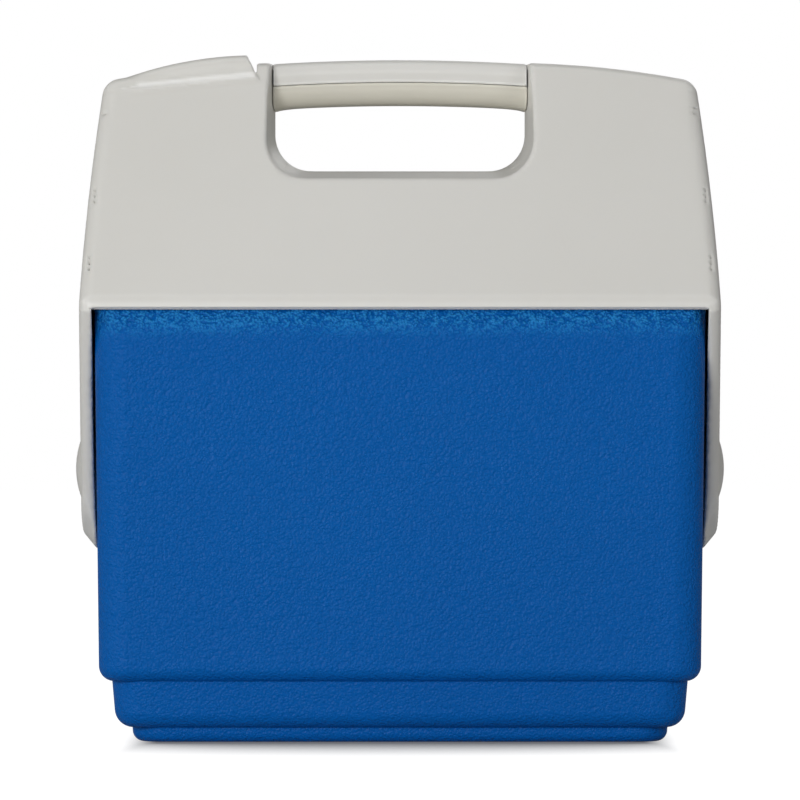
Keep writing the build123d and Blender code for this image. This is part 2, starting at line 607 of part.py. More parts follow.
with BuildPart() as latch_keeper:
    with Locations((TOOTH_X, 0, keeper_bottom)):
        Box(2 * KEEPER_HALF_WIDTH, 2 * KEEPER_HALF_DEPTH, KEEPER_HEIGHT + OVERRUN,
            align=(Align.CENTER, Align.CENTER, Align.MIN))
    add(rim_mask, mode=Mode.INTERSECT)
    with Locations((TOOTH_X, 0, keeper_top - KEEPER_NOTCH_DEPTH)):
        Box(2 * (TOOTH_HALF + KEEPER_NOTCH_CLEARANCE), 2 * (TOOTH_HALF_DEPTH + KEEPER_NOTCH_CLEARANCE),
            BEYOND, align=(Align.CENTER, Align.CENTER, Align.MIN), mode=Mode.SUBTRACT)
    for seat in keeper_seats:
        with BuildSketch(seat):
            Circle(KEEPER_SCREW_HEAD + KEEPER_HEAD_FIT)
        extrude(amount=OVERRUN, mode=Mode.SUBTRACT)
        with BuildSketch(seat):
            Circle(KEEPER_SCREW_RADIUS + KEEPER_FIT)
        extrude(amount=-KEEPER_HEIGHT, mode=Mode.SUBTRACT)
save(latch_keeper, "latch_keeper")

keeper_fasteners = [screw(seat, KEEPER_SCREW_LENGTH, KEEPER_SCREW_RADIUS, KEEPER_SCREW_HEAD,
                          KEEPER_SCREW_HEAD_HEIGHT) for seat in keeper_seats]
with BuildPart() as keeper_screws:
    for fastener in keeper_fasteners:
        add(fastener)
save(keeper_screws, "keeper_screws")


# ---------------------------------------------------------------- pivots

arm_slope = (ARM_HALF_WIDTH - HOOD_HALF_WIDTH) / (LID_EDGE_HEIGHT - PIVOT_HEIGHT + ARM_END_RADIUS)
arm_at_pivot = HOOD_HALF_WIDTH + (LID_EDGE_HEIGHT - PIVOT_HEIGHT) * arm_slope
head_seat = arm_at_pivot - HEAD_EDGE - HEAD_FIT
bore_radius = PIN_RADIUS + PIN_RUNNING_FIT
barb_end = PIN_BARB_START + PIN_BARB_WIDTH
barb_room = PIN_BARB_RADIUS + BARB_SIDE_FIT


def pivot_profile(side):
    """The sketch plane of a turned pivot piece: outwards along X, upwards from the axis."""
    return Plane(origin=(0, 0, PIVOT_HEIGHT), x_dir=(side, 0, 0), z_dir=(0, -side, 0))


for name, side in SIDES.items():
    with BuildPart() as pivot_pin:
        with BuildSketch(pivot_profile(side)):
            with BuildLine():
                shank = Polyline((PIN_INNER_END, 0), (PIN_INNER_END, PIN_RADIUS - PIN_CHAMFER),
                                 (PIN_INNER_END + PIN_CHAMFER, PIN_RADIUS),
                                 (PIN_BARB_START, PIN_RADIUS), (barb_end, PIN_BARB_RADIUS),
                                 (barb_end, PIN_RADIUS), (arm_at_pivot - HEAD_EDGE, PIN_RADIUS),
                                 (arm_at_pivot - HEAD_EDGE, HEAD_RADIUS),
                                 (arm_at_pivot, HEAD_RADIUS))
                dome_radius = (HEAD_RADIUS**2 + HEAD_DOME**2) / (2 * HEAD_DOME)
                dome = RadiusArc(shank @ 1, (arm_at_pivot + HEAD_DOME, 0), dome_radius)
                Line(dome @ 1, shank @ 0)
            make_face()
        revolve(axis=PIVOT_AXIS)
    save(pivot_pin, f"pivot_pin_{name}")

    with BuildPart() as pivot_socket:
        with BuildSketch(pivot_profile(side)):
            with BuildLine():
                Polyline((SOCKET_FACE - SOCKET_DEPTH, 0), (SOCKET_FACE - SOCKET_DEPTH, SOCKET_RADIUS),
                         (SOCKET_FACE, SOCKET_RADIUS), (SOCKET_FACE, bore_radius),
                         (barb_end + BARB_END_FIT, bore_radius),
                         (barb_end + BARB_END_FIT, barb_room),
                         (PIN_BARB_START - BARB_END_FIT, barb_room),
                         (PIN_BARB_START - BARB_END_FIT, bore_radius),
                         (PIN_INNER_END - PIN_END_FIT, bore_radius),
                         (PIN_INNER_END - PIN_END_FIT, 0), close=True)
            make_face()
        revolve(axis=PIVOT_AXIS)
    save(pivot_socket, f"pivot_socket_{name}")

    with BuildPart() as pivot_washer:
        with BuildSketch(Plane.YZ.offset(side * SOCKET_FACE)):
            with Locations((0, PIVOT_HEIGHT)):
                Circle(WASHER_RADIUS)
                Circle(bore_radius, mode=Mode.SUBTRACT)
        extrude(amount=side * (ARM_INNER - WASHER_FIT - SOCKET_FACE))
    save(pivot_washer, f"pivot_washer_{name}")


# ---------------------------------------------------------------- lid shell

hood_form = lid_block(0, LID_EDGE_ROUND)
hood_room = lid_block(LID_WALL, LID_EDGE_ROUND - LID_WALL)
opening_cut = hand_opening(0)
opening_walls = hand_opening(LID_WALL)
housing = hump()

with BuildPart() as between_arms:
    with Locations((0, 0, LID_EDGE_HEIGHT)):
        Box(2 * ARM_INNER, 2 * BEYOND, BEYOND, align=(Align.CENTER, Align.CENTER, Align.MAX))

with BuildPart() as liner_room:
    with BuildSketch(Plane.YZ):
        with Locations((0, PIVOT_HEIGHT)):
            Circle(LINER_OUTER_RADIUS)
    extrude(amount=LID_LINER_HALF_WIDTH + LID_LINER_FIT, both=True)

liner_seat_depth = LINER_HEAD_RECESS + SCREW_HEAD_HEIGHT
seat_radius = LID_LINER_RADIUS + liner_seat_depth
end_seats = [radial_plane(side * LINER_SCREW_X, angle, seat_radius)
             for side in SIDES.values() for angle in (-LINER_SCREW_ANGLE, LINER_SCREW_ANGLE)]
middle_seats = [radial_plane(side * MIDDLE_SCREW_X, 0, seat_radius) for side in SIDES.values()]
liner_seats = end_seats + middle_seats
with BuildPart() as liner_pads:
    for seat in liner_seats:
        with BuildSketch(seat.offset(liner_seat_depth - LID_LINER_WALL / 2)):
            Circle(LINER_PAD_RADIUS)
        extrude(amount=-LID_LINER_WALL / 2 - LINER_PAD_HEIGHT)
middle_post = GRIP_FLOOR - POST_SINK - PIVOT_HEIGHT - POST_BASE_RADIUS
with BuildPart() as liner_posts:
    for seats, post_length in ((end_seats, BEYOND), (middle_seats, middle_post)):
        for seat in seats:
            with BuildSketch(seat.offset(liner_seat_depth - LID_LINER_WALL - LINER_PAD_HEIGHT)):
                Circle(POST_RADIUS)
            extrude(amount=-post_length)
    add(hood_form, mode=Mode.INTERSECT)

chamber_left = -ARM_HALF_WIDTH
chamber_floor = PIVOT_HEIGHT + LID_LINER_RADIUS
with BuildPart() as chamber_walls:
    with Locations(((chamber_left + POST_FACE + CHAMBER_WALL) / 2, 0, chamber_floor)):
        Box(POST_FACE + CHAMBER_WALL - chamber_left, 2 * (CHAMBER_HALF_DEPTH + CHAMBER_WALL),
            BEYOND, align=(Align.CENTER, Align.CENTER, Align.MIN))
    add(hood_form, mode=Mode.INTERSECT)
with BuildPart() as chamber_room:
    with Locations(((chamber_left + POST_FACE) / 2, 0, chamber_floor - OVERRUN)):
        Box(POST_FACE - chamber_left, 2 * CHAMBER_HALF_DEPTH, BEYOND,
            align=(Align.CENTER, Align.CENTER, Align.MIN))
    add(hood_room, mode=Mode.INTERSECT)
slot_left = BUTTON_LEFT - BUTTON_SIDE_GAP
slot_half_depth = BUTTON_HALF_DEPTH + BUTTON_SIDE_GAP
slot_bottom = BUTTON_HINGE_Z - BUTTON_BARREL - BUTTON_SLOT_GAP
with BuildPart() as notch:
    with BuildSketch(Plane.XZ):
        with BuildLine():
            Polyline((HUMP_FOOT, HUMP_FOOT_HEIGHT), (POST_FACE, HUMP_FOOT_HEIGHT),
                     (POST_FACE, HUMP_HEIGHT + OVERRUN), (HUMP_RIGHT - OVERRUN, HUMP_HEIGHT + OVERRUN),
                     (HUMP_RIGHT, HUMP_HEIGHT), close=True)
        make_face()
    extrude(amount=BEYOND, both=True)

tongue_middle = BAR_SEAM - TONGUE_DROP - TONGUE_HEIGHT / 2
with BuildPart() as lid_shell:
    add(hood_form)
    add(hood_room, mode=Mode.SUBTRACT)
    add(between_arms.part, mode=Mode.SUBTRACT)
    add(opening_walls)
    add(hood_form, mode=Mode.INTERSECT)
    add(liner_posts.part)
    add(chamber_walls.part)
    add(liner_room.part, mode=Mode.SUBTRACT)
    add(housing)
    add(chamber_room.part, mode=Mode.SUBTRACT)
    with Locations(((slot_left + POST_FACE) / 2, 0, slot_bottom)):
        Box(POST_FACE - slot_left, 2 * slot_half_depth, BEYOND,
            align=(Align.CENTER, Align.CENTER, Align.MIN), mode=Mode.SUBTRACT)
    add(notch.part, mode=Mode.SUBTRACT)
    with Locations((SPRING_X, 0, SPRING_SHELF)):
        Box(2 * SHELF_HALF, 2 * CHAMBER_HALF_DEPTH + CHAMBER_WALL, SHELF_THICK,
            align=(Align.CENTER, Align.CENTER, Align.MIN))
    add(opening_cut, mode=Mode.SUBTRACT)
    for x, z, radius, half in ((BUTTON_HINGE_X, BUTTON_HINGE_Z, BUTTON_PIN_RADIUS, CROSS_PIN_HALF),
                               (LEVER_PIVOT_X, LEVER_PIVOT_Z, LEVER_PIN_RADIUS, CROSS_PIN_HALF)):
        with BuildSketch(Plane.XZ):
            with Locations((x, z)):
                Circle(radius)
        extrude(amount=half, both=True, mode=Mode.SUBTRACT)
    for side in SIDES.values():
        with Locations((side * (GRIP_HALF_WIDTH + LID_WALL), 0, tongue_middle)):
            Box(3 * LID_WALL, 2 * (TONGUE_HALF_DEPTH + TONGUE_FIT), TONGUE_HEIGHT + 2 * TONGUE_FIT,
                mode=Mode.SUBTRACT)
        with BuildSketch(Plane.YZ.offset(side * ARM_INNER)):
            with Locations((0, PIVOT_HEIGHT)):
                Circle(ARM_BOSS_RADIUS)
        extrude(amount=side * (head_seat - ARM_INNER))
        with BuildSketch(Plane.YZ.offset(side * head_seat)):
            with Locations((0, PIVOT_HEIGHT)):
                Circle(HEAD_RADIUS + HEAD_FIT)
        extrude(amount=side * BEYOND, mode=Mode.SUBTRACT)
        with BuildSketch(Plane.YZ.offset(side * (ARM_INNER - OVERRUN))):
            with Locations((0, PIVOT_HEIGHT)):
                Circle(bore_radius)
        extrude(amount=side * BEYOND, mode=Mode.SUBTRACT)
    for seat in liner_seats:
        with BuildSketch(seat):
            Circle(SCREW_RADIUS)
        extrude(amount=-LINER_SCREW_LENGTH, mode=Mode.SUBTRACT)
save(lid_shell, "lid_shell")

with BuildPart() as lid_liner:
    with BuildSketch(Plane.YZ):
        with Locations((0, PIVOT_HEIGHT)):
            Circle(LINER_OUTER_RADIUS)
            Circle(LID_LINER_RADIUS, mode=Mode.SUBTRACT)
    extrude(amount=LID_LINER_HALF_WIDTH, both=True)
    add(lid_block(LID_WALL + LID_LINER_FIT, 0), mode=Mode.INTERSECT)
    with Locations((0, 0, LID_EDGE_HEIGHT + LID_LINER_EDGE)):
        Box(2 * BEYOND, 2 * BEYOND, BEYOND, align=(Align.CENTER, Align.CENTER, Align.MIN),
            mode=Mode.INTERSECT)
    with Locations((TOOTH_X, 0, LID_LINER_RADIUS + PIVOT_HEIGHT)):
        Box(2 * (TOOTH_HALF + TOOTH_SLOT_END), 2 * (TOOTH_HALF_DEPTH + TOOTH_SLOT_SIDE), 2 * OVERRUN,
            mode=Mode.SUBTRACT)
    add(liner_pads.part)
    for seat in liner_seats:
        with BuildSketch(seat):
            Circle(SCREW_HEAD_RADIUS + SCREW_HEAD_FIT)
        extrude(amount=OVERRUN, mode=Mode.SUBTRACT)
        with BuildSketch(seat):
            Circle(SCREW_RADIUS + SCREW_HOLE_FIT)
        extrude(amount=-LINER_SCREW_LENGTH, mode=Mode.SUBTRACT)
save(lid_liner, "lid_liner")

liner_fasteners = [screw(seat, LINER_SCREW_LENGTH) for seat in liner_seats]
with BuildPart() as liner_screws:
    for fastener in liner_fasteners:
        add(fastener)
save(liner_screws, "liner_screws")

with BuildPart() as lid_foam:
    add(hood_room)
    with BuildSketch(Plane.YZ):
        with Locations((0, PIVOT_HEIGHT)):
            Circle(LINER_OUTER_RADIUS)
    extrude(amount=BEYOND, both=True, mode=Mode.SUBTRACT)
    with Locations((0, 0, LID_EDGE_HEIGHT + LID_LINER_EDGE)):
        Box(2 * LID_LINER_HALF_WIDTH, 2 * BEYOND, BEYOND, align=(Align.CENTER, Align.CENTER, Align.MIN),
            mode=Mode.INTERSECT)
    add(opening_walls, mode=Mode.SUBTRACT)
    add(liner_posts.part, mode=Mode.SUBTRACT)
    add(liner_pads.part, mode=Mode.SUBTRACT)
    with Locations(((chamber_left + POST_FACE + CHAMBER_WALL) / 2, 0, chamber_floor - OVERRUN)):
        Box(POST_FACE + CHAMBER_WALL - chamber_left, 2 * (CHAMBER_HALF_DEPTH + CHAMBER_WALL),
            BEYOND, align=(Align.CENTER, Align.CENTER, Align.MIN), mode=Mode.SUBTRACT)
    with Locations((0, 0, HUMP_BOTTOM - HUMP_FOAM_GAP)):
        Box(2 * BEYOND, 2 * BEYOND, BEYOND, align=(Align.CENTER, Align.CENTER, Align.MIN),
            mode=Mode.SUBTRACT)
save(lid_foam, "lid_foam")


# ---------------------------------------------------------------- handle

bar_end = GRIP_HALF_WIDTH - BAR_END_GAP


def bar_band(low, high):
    """Front view of one strip of the handle, both edges cambered upwards."""
    with BuildSketch(Plane.XZ) as band:
        with BuildLine():
            bottom = ThreePointArc((-bar_end, low), (0, low + BAR_CAMBER), (bar_end, low))
            top = ThreePointArc((-bar_end, high), (0, high + BAR_CAMBER), (bar_end, high))
            Line(bottom @ 0, top @ 0)
            Line(bottom @ 1, top @ 1)
        make_face()
    return band.sketch


def long_edges(block, height):
    """The two long edges of a handle strip nearest a height."""
    edges = block.edges().filter_by(lambda e: abs(e.center().X) < 1 and abs(e.center().Y) > 1)
    return edges.sort_by(lambda e: abs(e.center().Z - height))[:2]


bar_seats = [Plane(origin=(side * BAR_SCREW_SPACING / 2, 0, BAR_BOTTOM + BAR_SCREW_SEAT),
                   z_dir=(0, 0, -1)) for side in SIDES.values()]

with BuildPart() as handle_grip:
    extrude(bar_band(BAR_BOTTOM, BAR_SEAM), amount=BAR_HALF_DEPTH, both=True)
    fillet(long_edges(handle_grip, BAR_BOTTOM), BAR_ROUND)
    for side in SIDES.values():
        with Locations((side * (bar_end + (TONGUE_LENGTH - TONGUE_ROOT) / 2), 0, tongue_middle)):
            Box(TONGUE_LENGTH + TONGUE_ROOT, 2 * TONGUE_HALF_DEPTH, TONGUE_HEIGHT)
    for seat in bar_seats:
        with BuildSketch(seat):
            Circle(SCREW_HEAD_RADIUS + SCREW_HEAD_FIT)
        extrude(amount=BAR_SCREW_SEAT + BAR_CAMBER, mode=Mode.SUBTRACT)
        with BuildSketch(seat):
            Circle(SCREW_RADIUS + SCREW_HOLE_FIT)
        extrude(amount=-BAR_SCREW_LENGTH, mode=Mode.SUBTRACT)
save(handle_grip, "handle_grip")

with BuildPart() as handle_cap:
    extrude(bar_band(BAR_SEAM + BAR_SEAM_GAP, BAR_TOP), amount=BAR_HALF_DEPTH, both=True)
    fillet(long_edges(handle_cap, BAR_TOP + BAR_CAMBER), CAP_ROUND)
    for seat in bar_seats:
        with BuildSketch(seat):
            Circle(SCREW_RADIUS)
        extrude(amount=-BAR_SCREW_LENGTH, mode=Mode.SUBTRACT)
save(handle_cap, "handle_cap")

bar_fasteners = [screw(seat, BAR_SCREW_LENGTH) for seat in bar_seats]
with BuildPart() as handle_screws:
    for fastener in bar_fasteners:
        add(fastener)
save(handle_screws, "handle_screws")


# ---------------------------------------------------------------- button and latch

lever_top = LEVER_PIVOT_Z + LEVER_HALF_THICK
with BuildSketch(Plane.XZ) as button_view:
    with BuildLine():
        Polyline((BUTTON_LEFT, HUMP_HEIGHT + OVERRUN), (BUTTON_LEFT, BUTTON_SKIRT),
                 (HUMP_FOOT - BUTTON_FOOT_GAP, BUTTON_SKIRT),
                 (HUMP_FOOT - BUTTON_FOOT_GAP, HUMP_FOOT_HEIGHT),
                 (HUMP_RIGHT - BUTTON_EDGE_GAP, HUMP_HEIGHT - BUTTON_EDGE_GAP),
                 (HUMP_RIGHT - BUTTON_EDGE_GAP, HUMP_HEIGHT + OVERRUN), close=True)
    make_face()
    add(hump_profile(HUMP_BOTTOM), mode=Mode.INTERSECT)

with BuildPart() as release_button:
    extrude(button_view.sketch, amount=BUTTON_HALF_DEPTH, both=True)
    with BuildSketch(Plane.XZ) as hollow:
        add(button_view.sketch)
        offset(amount=-BUTTON_WALL, kind=Kind.INTERSECTION, mode=Mode.REPLACE)
    extrude(hollow.sketch, amount=BUTTON_HALF_DEPTH - BUTTON_WALL, both=True, mode=Mode.SUBTRACT)
    with Locations(((BUTTON_LEFT + HUMP_FOOT) / 2, 0, BUTTON_SKIRT)):
        Box(HUMP_FOOT - BUTTON_LEFT - 2 * BUTTON_WALL - BUTTON_FOOT_GAP,
            2 * (BUTTON_HALF_DEPTH - BUTTON_WALL), 2 * (BUTTON_WALL + NEAR), mode=Mode.SUBTRACT)
    with BuildSketch(Plane.XZ):
        with Locations((BUTTON_HINGE_X, BUTTON_HINGE_Z)):
            Circle(BUTTON_BARREL)
    extrude(amount=BUTTON_HALF_DEPTH, both=True)
    with Locations((PUSH_X, 0, lever_top + LATCH_GAP)):
        Box(2 * PUSH_HALF, 2 * PUSH_HALF_DEPTH, HUMP_MIDDLE_HEIGHT - lever_top - LATCH_GAP,
            align=(Align.CENTER, Align.CENTER, Align.MIN))
    with BuildSketch(Plane.XZ):
        with Locations((BUTTON_HINGE_X, BUTTON_HINGE_Z)):
            Circle(BUTTON_PIN_RADIUS + PIN_RUNNING_FIT)
    extrude(amount=BEYOND, both=True, mode=Mode.SUBTRACT)
save(release_button, "release_button")

with BuildPart() as latch_lever:
    with BuildSketch(Plane.XZ):
        with BuildLine():
            Polyline((LEVER_RIGHT, LEVER_PIVOT_Z - LEVER_HALF_THICK), (LEVER_RIGHT, lever_top),
                     (TOOTH_X - TOOTH_HALF, lever_top),
                     (TOOTH_X - TOOTH_HALF, LEVER_PIVOT_Z - LEVER_HALF_THICK), close=True)
        make_face()
        with Locations((LEVER_PIVOT_X, LEVER_PIVOT_Z)):
            Circle(LEVER_BARREL)
    extrude(amount=LEVER_HALF_DEPTH, both=True)
    with Locations((TOOTH_X, 0, RIM_CREST + LATCH_GAP)):
        Box(2 * TOOTH_HALF, 2 * TOOTH_HALF_DEPTH, LEVER_PIVOT_Z - RIM_CREST - LATCH_GAP,
            align=(Align.CENTER, Align.CENTER, Align.MIN))
    with BuildSketch(Plane.XZ):
        with Locations((LEVER_PIVOT_X, LEVER_PIVOT_Z)):
            Circle(LEVER_PIN_RADIUS + PIN_RUNNING_FIT)
    extrude(amount=BEYOND, both=True, mode=Mode.SUBTRACT)
save(latch_lever, "latch_lever")

for label, x, z, radius in (("button_pin", BUTTON_HINGE_X, BUTTON_HINGE_Z, BUTTON_PIN_RADIUS),
                            ("lever_pin", LEVER_PIVOT_X, LEVER_PIVOT_Z, LEVER_PIN_RADIUS)):
    with BuildPart() as pin:
        with BuildSketch(Plane.XZ):
            with Locations((x, z)):
                Circle(radius)
        extrude(amount=CROSS_PIN_HALF, both=True)
    save(pin, label)

spring_height = SPRING_SHELF - lever_top - 2 * (SPRING_WIRE + SPRING_END_GAP)
with BuildPart() as latch_spring:
    with BuildLine() as coil:
        Helix(spring_height / SPRING_TURNS, spring_height, SPRING_RADIUS,
              center=(SPRING_X, 0, lever_top + SPRING_WIRE + SPRING_END_GAP))
    with BuildSketch(Plane(origin=coil.line @ 0, z_dir=coil.line % 0)):
        Circle(SPRING_WIRE)
    sweep()
save(latch_spring, "latch_spring")
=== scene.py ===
"""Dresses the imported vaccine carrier: a textured blue tub under an off-white tent-shaped swing lid.

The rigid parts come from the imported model. The lid, the carry bar and the thumb release are drawn
again here as moulded forms with soft blends, the screws and the spring are made with Geometry
Nodes, and every part gets a procedural finish. The carrier's parts are sized in millimetres. The
finishes, the node trees, the studio and the finished meshes are in metres.
"""

import logging
import math
from dataclasses import dataclass, field
from enum import Enum
from functools import reduce
from typing import Callable, Sequence

import bpy
import numpy as np
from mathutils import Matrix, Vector

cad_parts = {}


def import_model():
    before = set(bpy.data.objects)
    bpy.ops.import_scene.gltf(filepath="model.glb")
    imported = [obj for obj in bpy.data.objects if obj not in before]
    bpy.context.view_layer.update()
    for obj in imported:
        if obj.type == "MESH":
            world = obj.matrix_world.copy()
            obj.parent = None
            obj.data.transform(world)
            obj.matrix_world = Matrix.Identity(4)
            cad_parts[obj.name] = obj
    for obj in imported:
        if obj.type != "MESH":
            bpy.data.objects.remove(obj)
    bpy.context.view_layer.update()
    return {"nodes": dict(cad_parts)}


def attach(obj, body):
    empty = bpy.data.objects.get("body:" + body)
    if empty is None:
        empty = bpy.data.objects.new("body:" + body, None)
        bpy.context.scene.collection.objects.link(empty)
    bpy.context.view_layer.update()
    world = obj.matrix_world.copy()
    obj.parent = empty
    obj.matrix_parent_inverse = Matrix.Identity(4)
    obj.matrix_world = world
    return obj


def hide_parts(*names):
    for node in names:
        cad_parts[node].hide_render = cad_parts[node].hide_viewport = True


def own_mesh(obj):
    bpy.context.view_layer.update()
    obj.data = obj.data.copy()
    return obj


LOG = logging.getLogger("vaccine_carrier")
MM = 0.001
PIVOT_HEIGHT = 125.3
TONGUE_HEIGHT = 300.9
WHITE = (1.0, 1.0, 1.0, 1.0)
Colour = tuple[float, float, float, float]
Spans = tuple[tuple[float, float, float], ...]
Field = Callable[[np.ndarray, np.ndarray, np.ndarray], np.ndarray]


# ---------------------------------------------------------------- distance fields

def union(a: np.ndarray, b: np.ndarray, blend: float) -> np.ndarray:
    """Joins two distance fields with a hollow fillet.

    Args:
        a: first distance, negative inside.
        b: second distance.
        blend: radius of the fillet in the corner between them.

    Returns:
        The distance to the joined form.
    """
    return np.maximum(blend, np.minimum(a, b)) - np.hypot(np.maximum(blend - a, 0.0),
                                                          np.maximum(blend - b, 0.0))


def meet(a: np.ndarray, b: np.ndarray, edge: float | np.ndarray) -> np.ndarray:
    """Keeps what is inside both fields, with a rounded edge.

    Args:
        a: first distance, negative inside.
        b: second distance.
        edge: radius of the rounded edge.

    Returns:
        The distance to the common form.
    """
    return np.minimum(-edge, np.maximum(a, b)) + np.hypot(np.maximum(edge + a, 0.0),
                                                          np.maximum(edge + b, 0.0))


def soften(radius: float, turn: float | np.ndarray) -> float | np.ndarray:
    """The blend size that gives a rolling-ball radius between faces that aren't square.

    Args:
        radius: the rolling ball's radius.
        turn: cosine of the angle between the two faces' outward normals.

    Returns:
        The size to give to meet.
    """
    return radius * (1.0 - np.clip(turn, -0.95, 0.985))


def carve(a: np.ndarray, b: np.ndarray, edge: float) -> np.ndarray:
    """Takes the second form out of the first, with a rounded edge.

    Args:
        a: distance to the form that is kept.
        b: distance to the form that is cut away.
        edge: radius of the edge between them.

    Returns:
        The distance to what is left.
    """
    return meet(a, -b, edge)


def highest(*distances: np.ndarray) -> np.ndarray:
    """Keeps what is inside every field, with sharp edges.

    Args:
        distances: the fields, negative inside.

    Returns:
        The distance to the common form.
    """
    return reduce(np.maximum, distances)


def circle_through(p: Sequence[float], q: Sequence[float],
                   r: Sequence[float]) -> tuple[float, float, float]:
    """The circle through three points.

    Args:
        p: first point in the plane.
        q: second point.
        r: third point.

    Returns:
        Both coordinates of its centre, and its radius.
    """
    rows = np.array([[q[0] - p[0], q[1] - p[1]], [r[0] - p[0], r[1] - p[1]]], float)
    sides = 0.5 * np.array([q[0]**2 + q[1]**2 - p[0]**2 - p[1]**2,
                            r[0]**2 + r[1]**2 - p[0]**2 - p[1]**2], float)
    centre = np.linalg.solve(rows, sides)
    return float(centre[0]), float(centre[1]), float(math.dist(centre, p))


def stations(spans: Spans) -> np.ndarray:
    """Grid lines along one axis, closer together where a form has small features.

    Args:
        spans: start, stop and pitch of each stretch, in order.

    Returns:
        The grid lines in rising order.
    """
    lines = [np.linspace(start, stop, max(2, round((stop - start) / pitch) + 1))
             for start, stop, pitch in spans]
    return np.unique(np.round(np.concatenate(lines), 6))


@dataclass
class MouldedForm:
    """A closed plastic form, drawn as the zero level of a distance field.

    The surface is found with one vertex in each grid cell that it crosses, and each vertex is then
    moved along the field's slope until it lies on the surface.
    """

    name: str
    distance: Field
    across: Spans
    deep: Spans
    up: Spans
    polish_steps: int = 5
    longest_step: float = 0.6
    least_steepness: float = 0.2
    probe: float = 0.05
    crest_reach: float = 0.9
    crest_gain: float = 2.0

    def build(self) -> bpy.types.Object:
        """Meshes the form, in metres at its place.

        Returns:
            The finished object.
        """
        corners, quads = self._net()
        corners = self._polish(corners)
        mesh = bpy.data.meshes.new(self.name)
        mesh.from_pydata((corners * MM).tolist(), [], quads.tolist())
        mesh.validate()
        mesh.shade_smooth()
        self._mark_crests(mesh, corners)
        made = bpy.data.objects.new(self.name, mesh)
        bpy.context.scene.collection.objects.link(made)
        return made

    def _beside(self, points: np.ndarray, reach: float) -> list[tuple[np.ndarray, np.ndarray]]:
        """The field a reach ahead of and behind some points, for each of the three axes."""
        return [(self.distance(*(points + shift).T), self.distance(*(points - shift).T))
                for shift in np.eye(3) * reach]

    def _polish(self, points: np.ndarray) -> np.ndarray:
        """Moves points along the field's slope onto the surface.

        Args:
            points: the rough vertices.

        Returns:
            The vertices on the surface.
        """
        for _ in range(self.polish_steps):
            rises = [ahead - behind for ahead, behind in self._beside(points, self.probe)]
            slope = np.stack(rises, axis=1) / (2 * self.probe)
            steepness = np.maximum((slope**2).sum(axis=1), self.least_steepness)
            step = (self.distance(*points.T) / steepness)[:, None] * slope
            points = points - np.clip(step, -self.longest_step, self.longest_step)
        return points

    def _net(self) -> tuple[np.ndarray, np.ndarray]:
        """Finds the cells that the surface crosses and joins them into quads.

        Returns:
            The vertices, one in each crossed cell, and the quads between them.
        """
        lines = [stations(spans) for spans in (self.across, self.deep, self.up)]
        value = self.distance(*np.meshgrid(*lines, indexing="ij"))
        cells = tuple(n - 1 for n in value.shape)
        place = [np.zeros(cells) for _ in range(3)]
        hits = np.zeros(cells)
        crossings = []
        for axis in range(3):
            low = np.moveaxis(value, axis, 0)[:-1]
            high = np.moveaxis(value, axis, 0)[1:]
            crossed = (low < 0) != (high < 0)
            share = np.where(crossed, low / np.where(crossed, low - high, 1.0), 0.0)
            crossed, share = np.moveaxis(crossed, 0, axis), np.moveaxis(share, 0, axis)
            crossings.append((crossed, np.moveaxis(low < 0, 0, axis)))
            first, second = [a for a in range(3) if a != axis]
            for i in (0, 1):
                for j in (0, 1):
                    part: list[slice] = [slice(None)] * 3
                    part[first] = slice(i, i + cells[first])
                    part[second] = slice(j, j + cells[second])
                    here = crossed[tuple(part)]
                    hits += here
                    place[axis] += share[tuple(part)]
                    place[first] += i * here
                    place[second] += j * here
        active = hits > 0
        number = np.full(cells, -1)
        number[active] = np.arange(int(active.sum()))
        where = np.nonzero(active)
        points = np.stack([lines[a][where[a]]
                           + np.diff(lines[a])[where[a]] * place[a][active] / hits[active]
                           for a in range(3)], axis=1)
        quads = []
        for axis, (crossed, rising) in enumerate(crossings):
            second, third = (axis + 1) % 3, (axis + 2) % 3
            inner: list[slice] = [slice(None)] * 3
            inner[second], inner[third] = slice(1, -1), slice(1, -1)
            at = np.nonzero(crossed[tuple(inner)])
            outwards = rising[tuple(inner)][at]
            ring = []
            for u, v in ((0, 0), (1, 0), (1, 1), (0, 1)):
                index = list(at)
                index[second], index[third] = at[second] + u, at[third] + v
                ring.append(number[tuple(index)])
            quad = np.stack(ring, axis=1)
            quads.append(np.where(outwards[:, None], quad, quad[:, ::-1]))
        return points, np.concatenate(quads)

    def _mark_crests(self, mesh: bpy.types.Mesh, points: np.ndarray) -> None:
        """Stores how sharply the surface turns outwards, for wear along edges.

        Args:
            mesh: the finished mesh.
            points: its vertices in millimetres.
        """
        bend = -6.0 * self.distance(*points.T)
        for ahead, behind in self._beside(points, self.crest_reach):
            bend += ahead + behind
        crest = np.clip(bend / self.crest_reach**2 * self.crest_gain, 0.0, 1.0)
        mesh.attributes.new("crest", "FLOAT", "POINT").data.foreach_set(
            "value", crest.astype(np.float32))


# ---------------------------------------------------------------- node trees

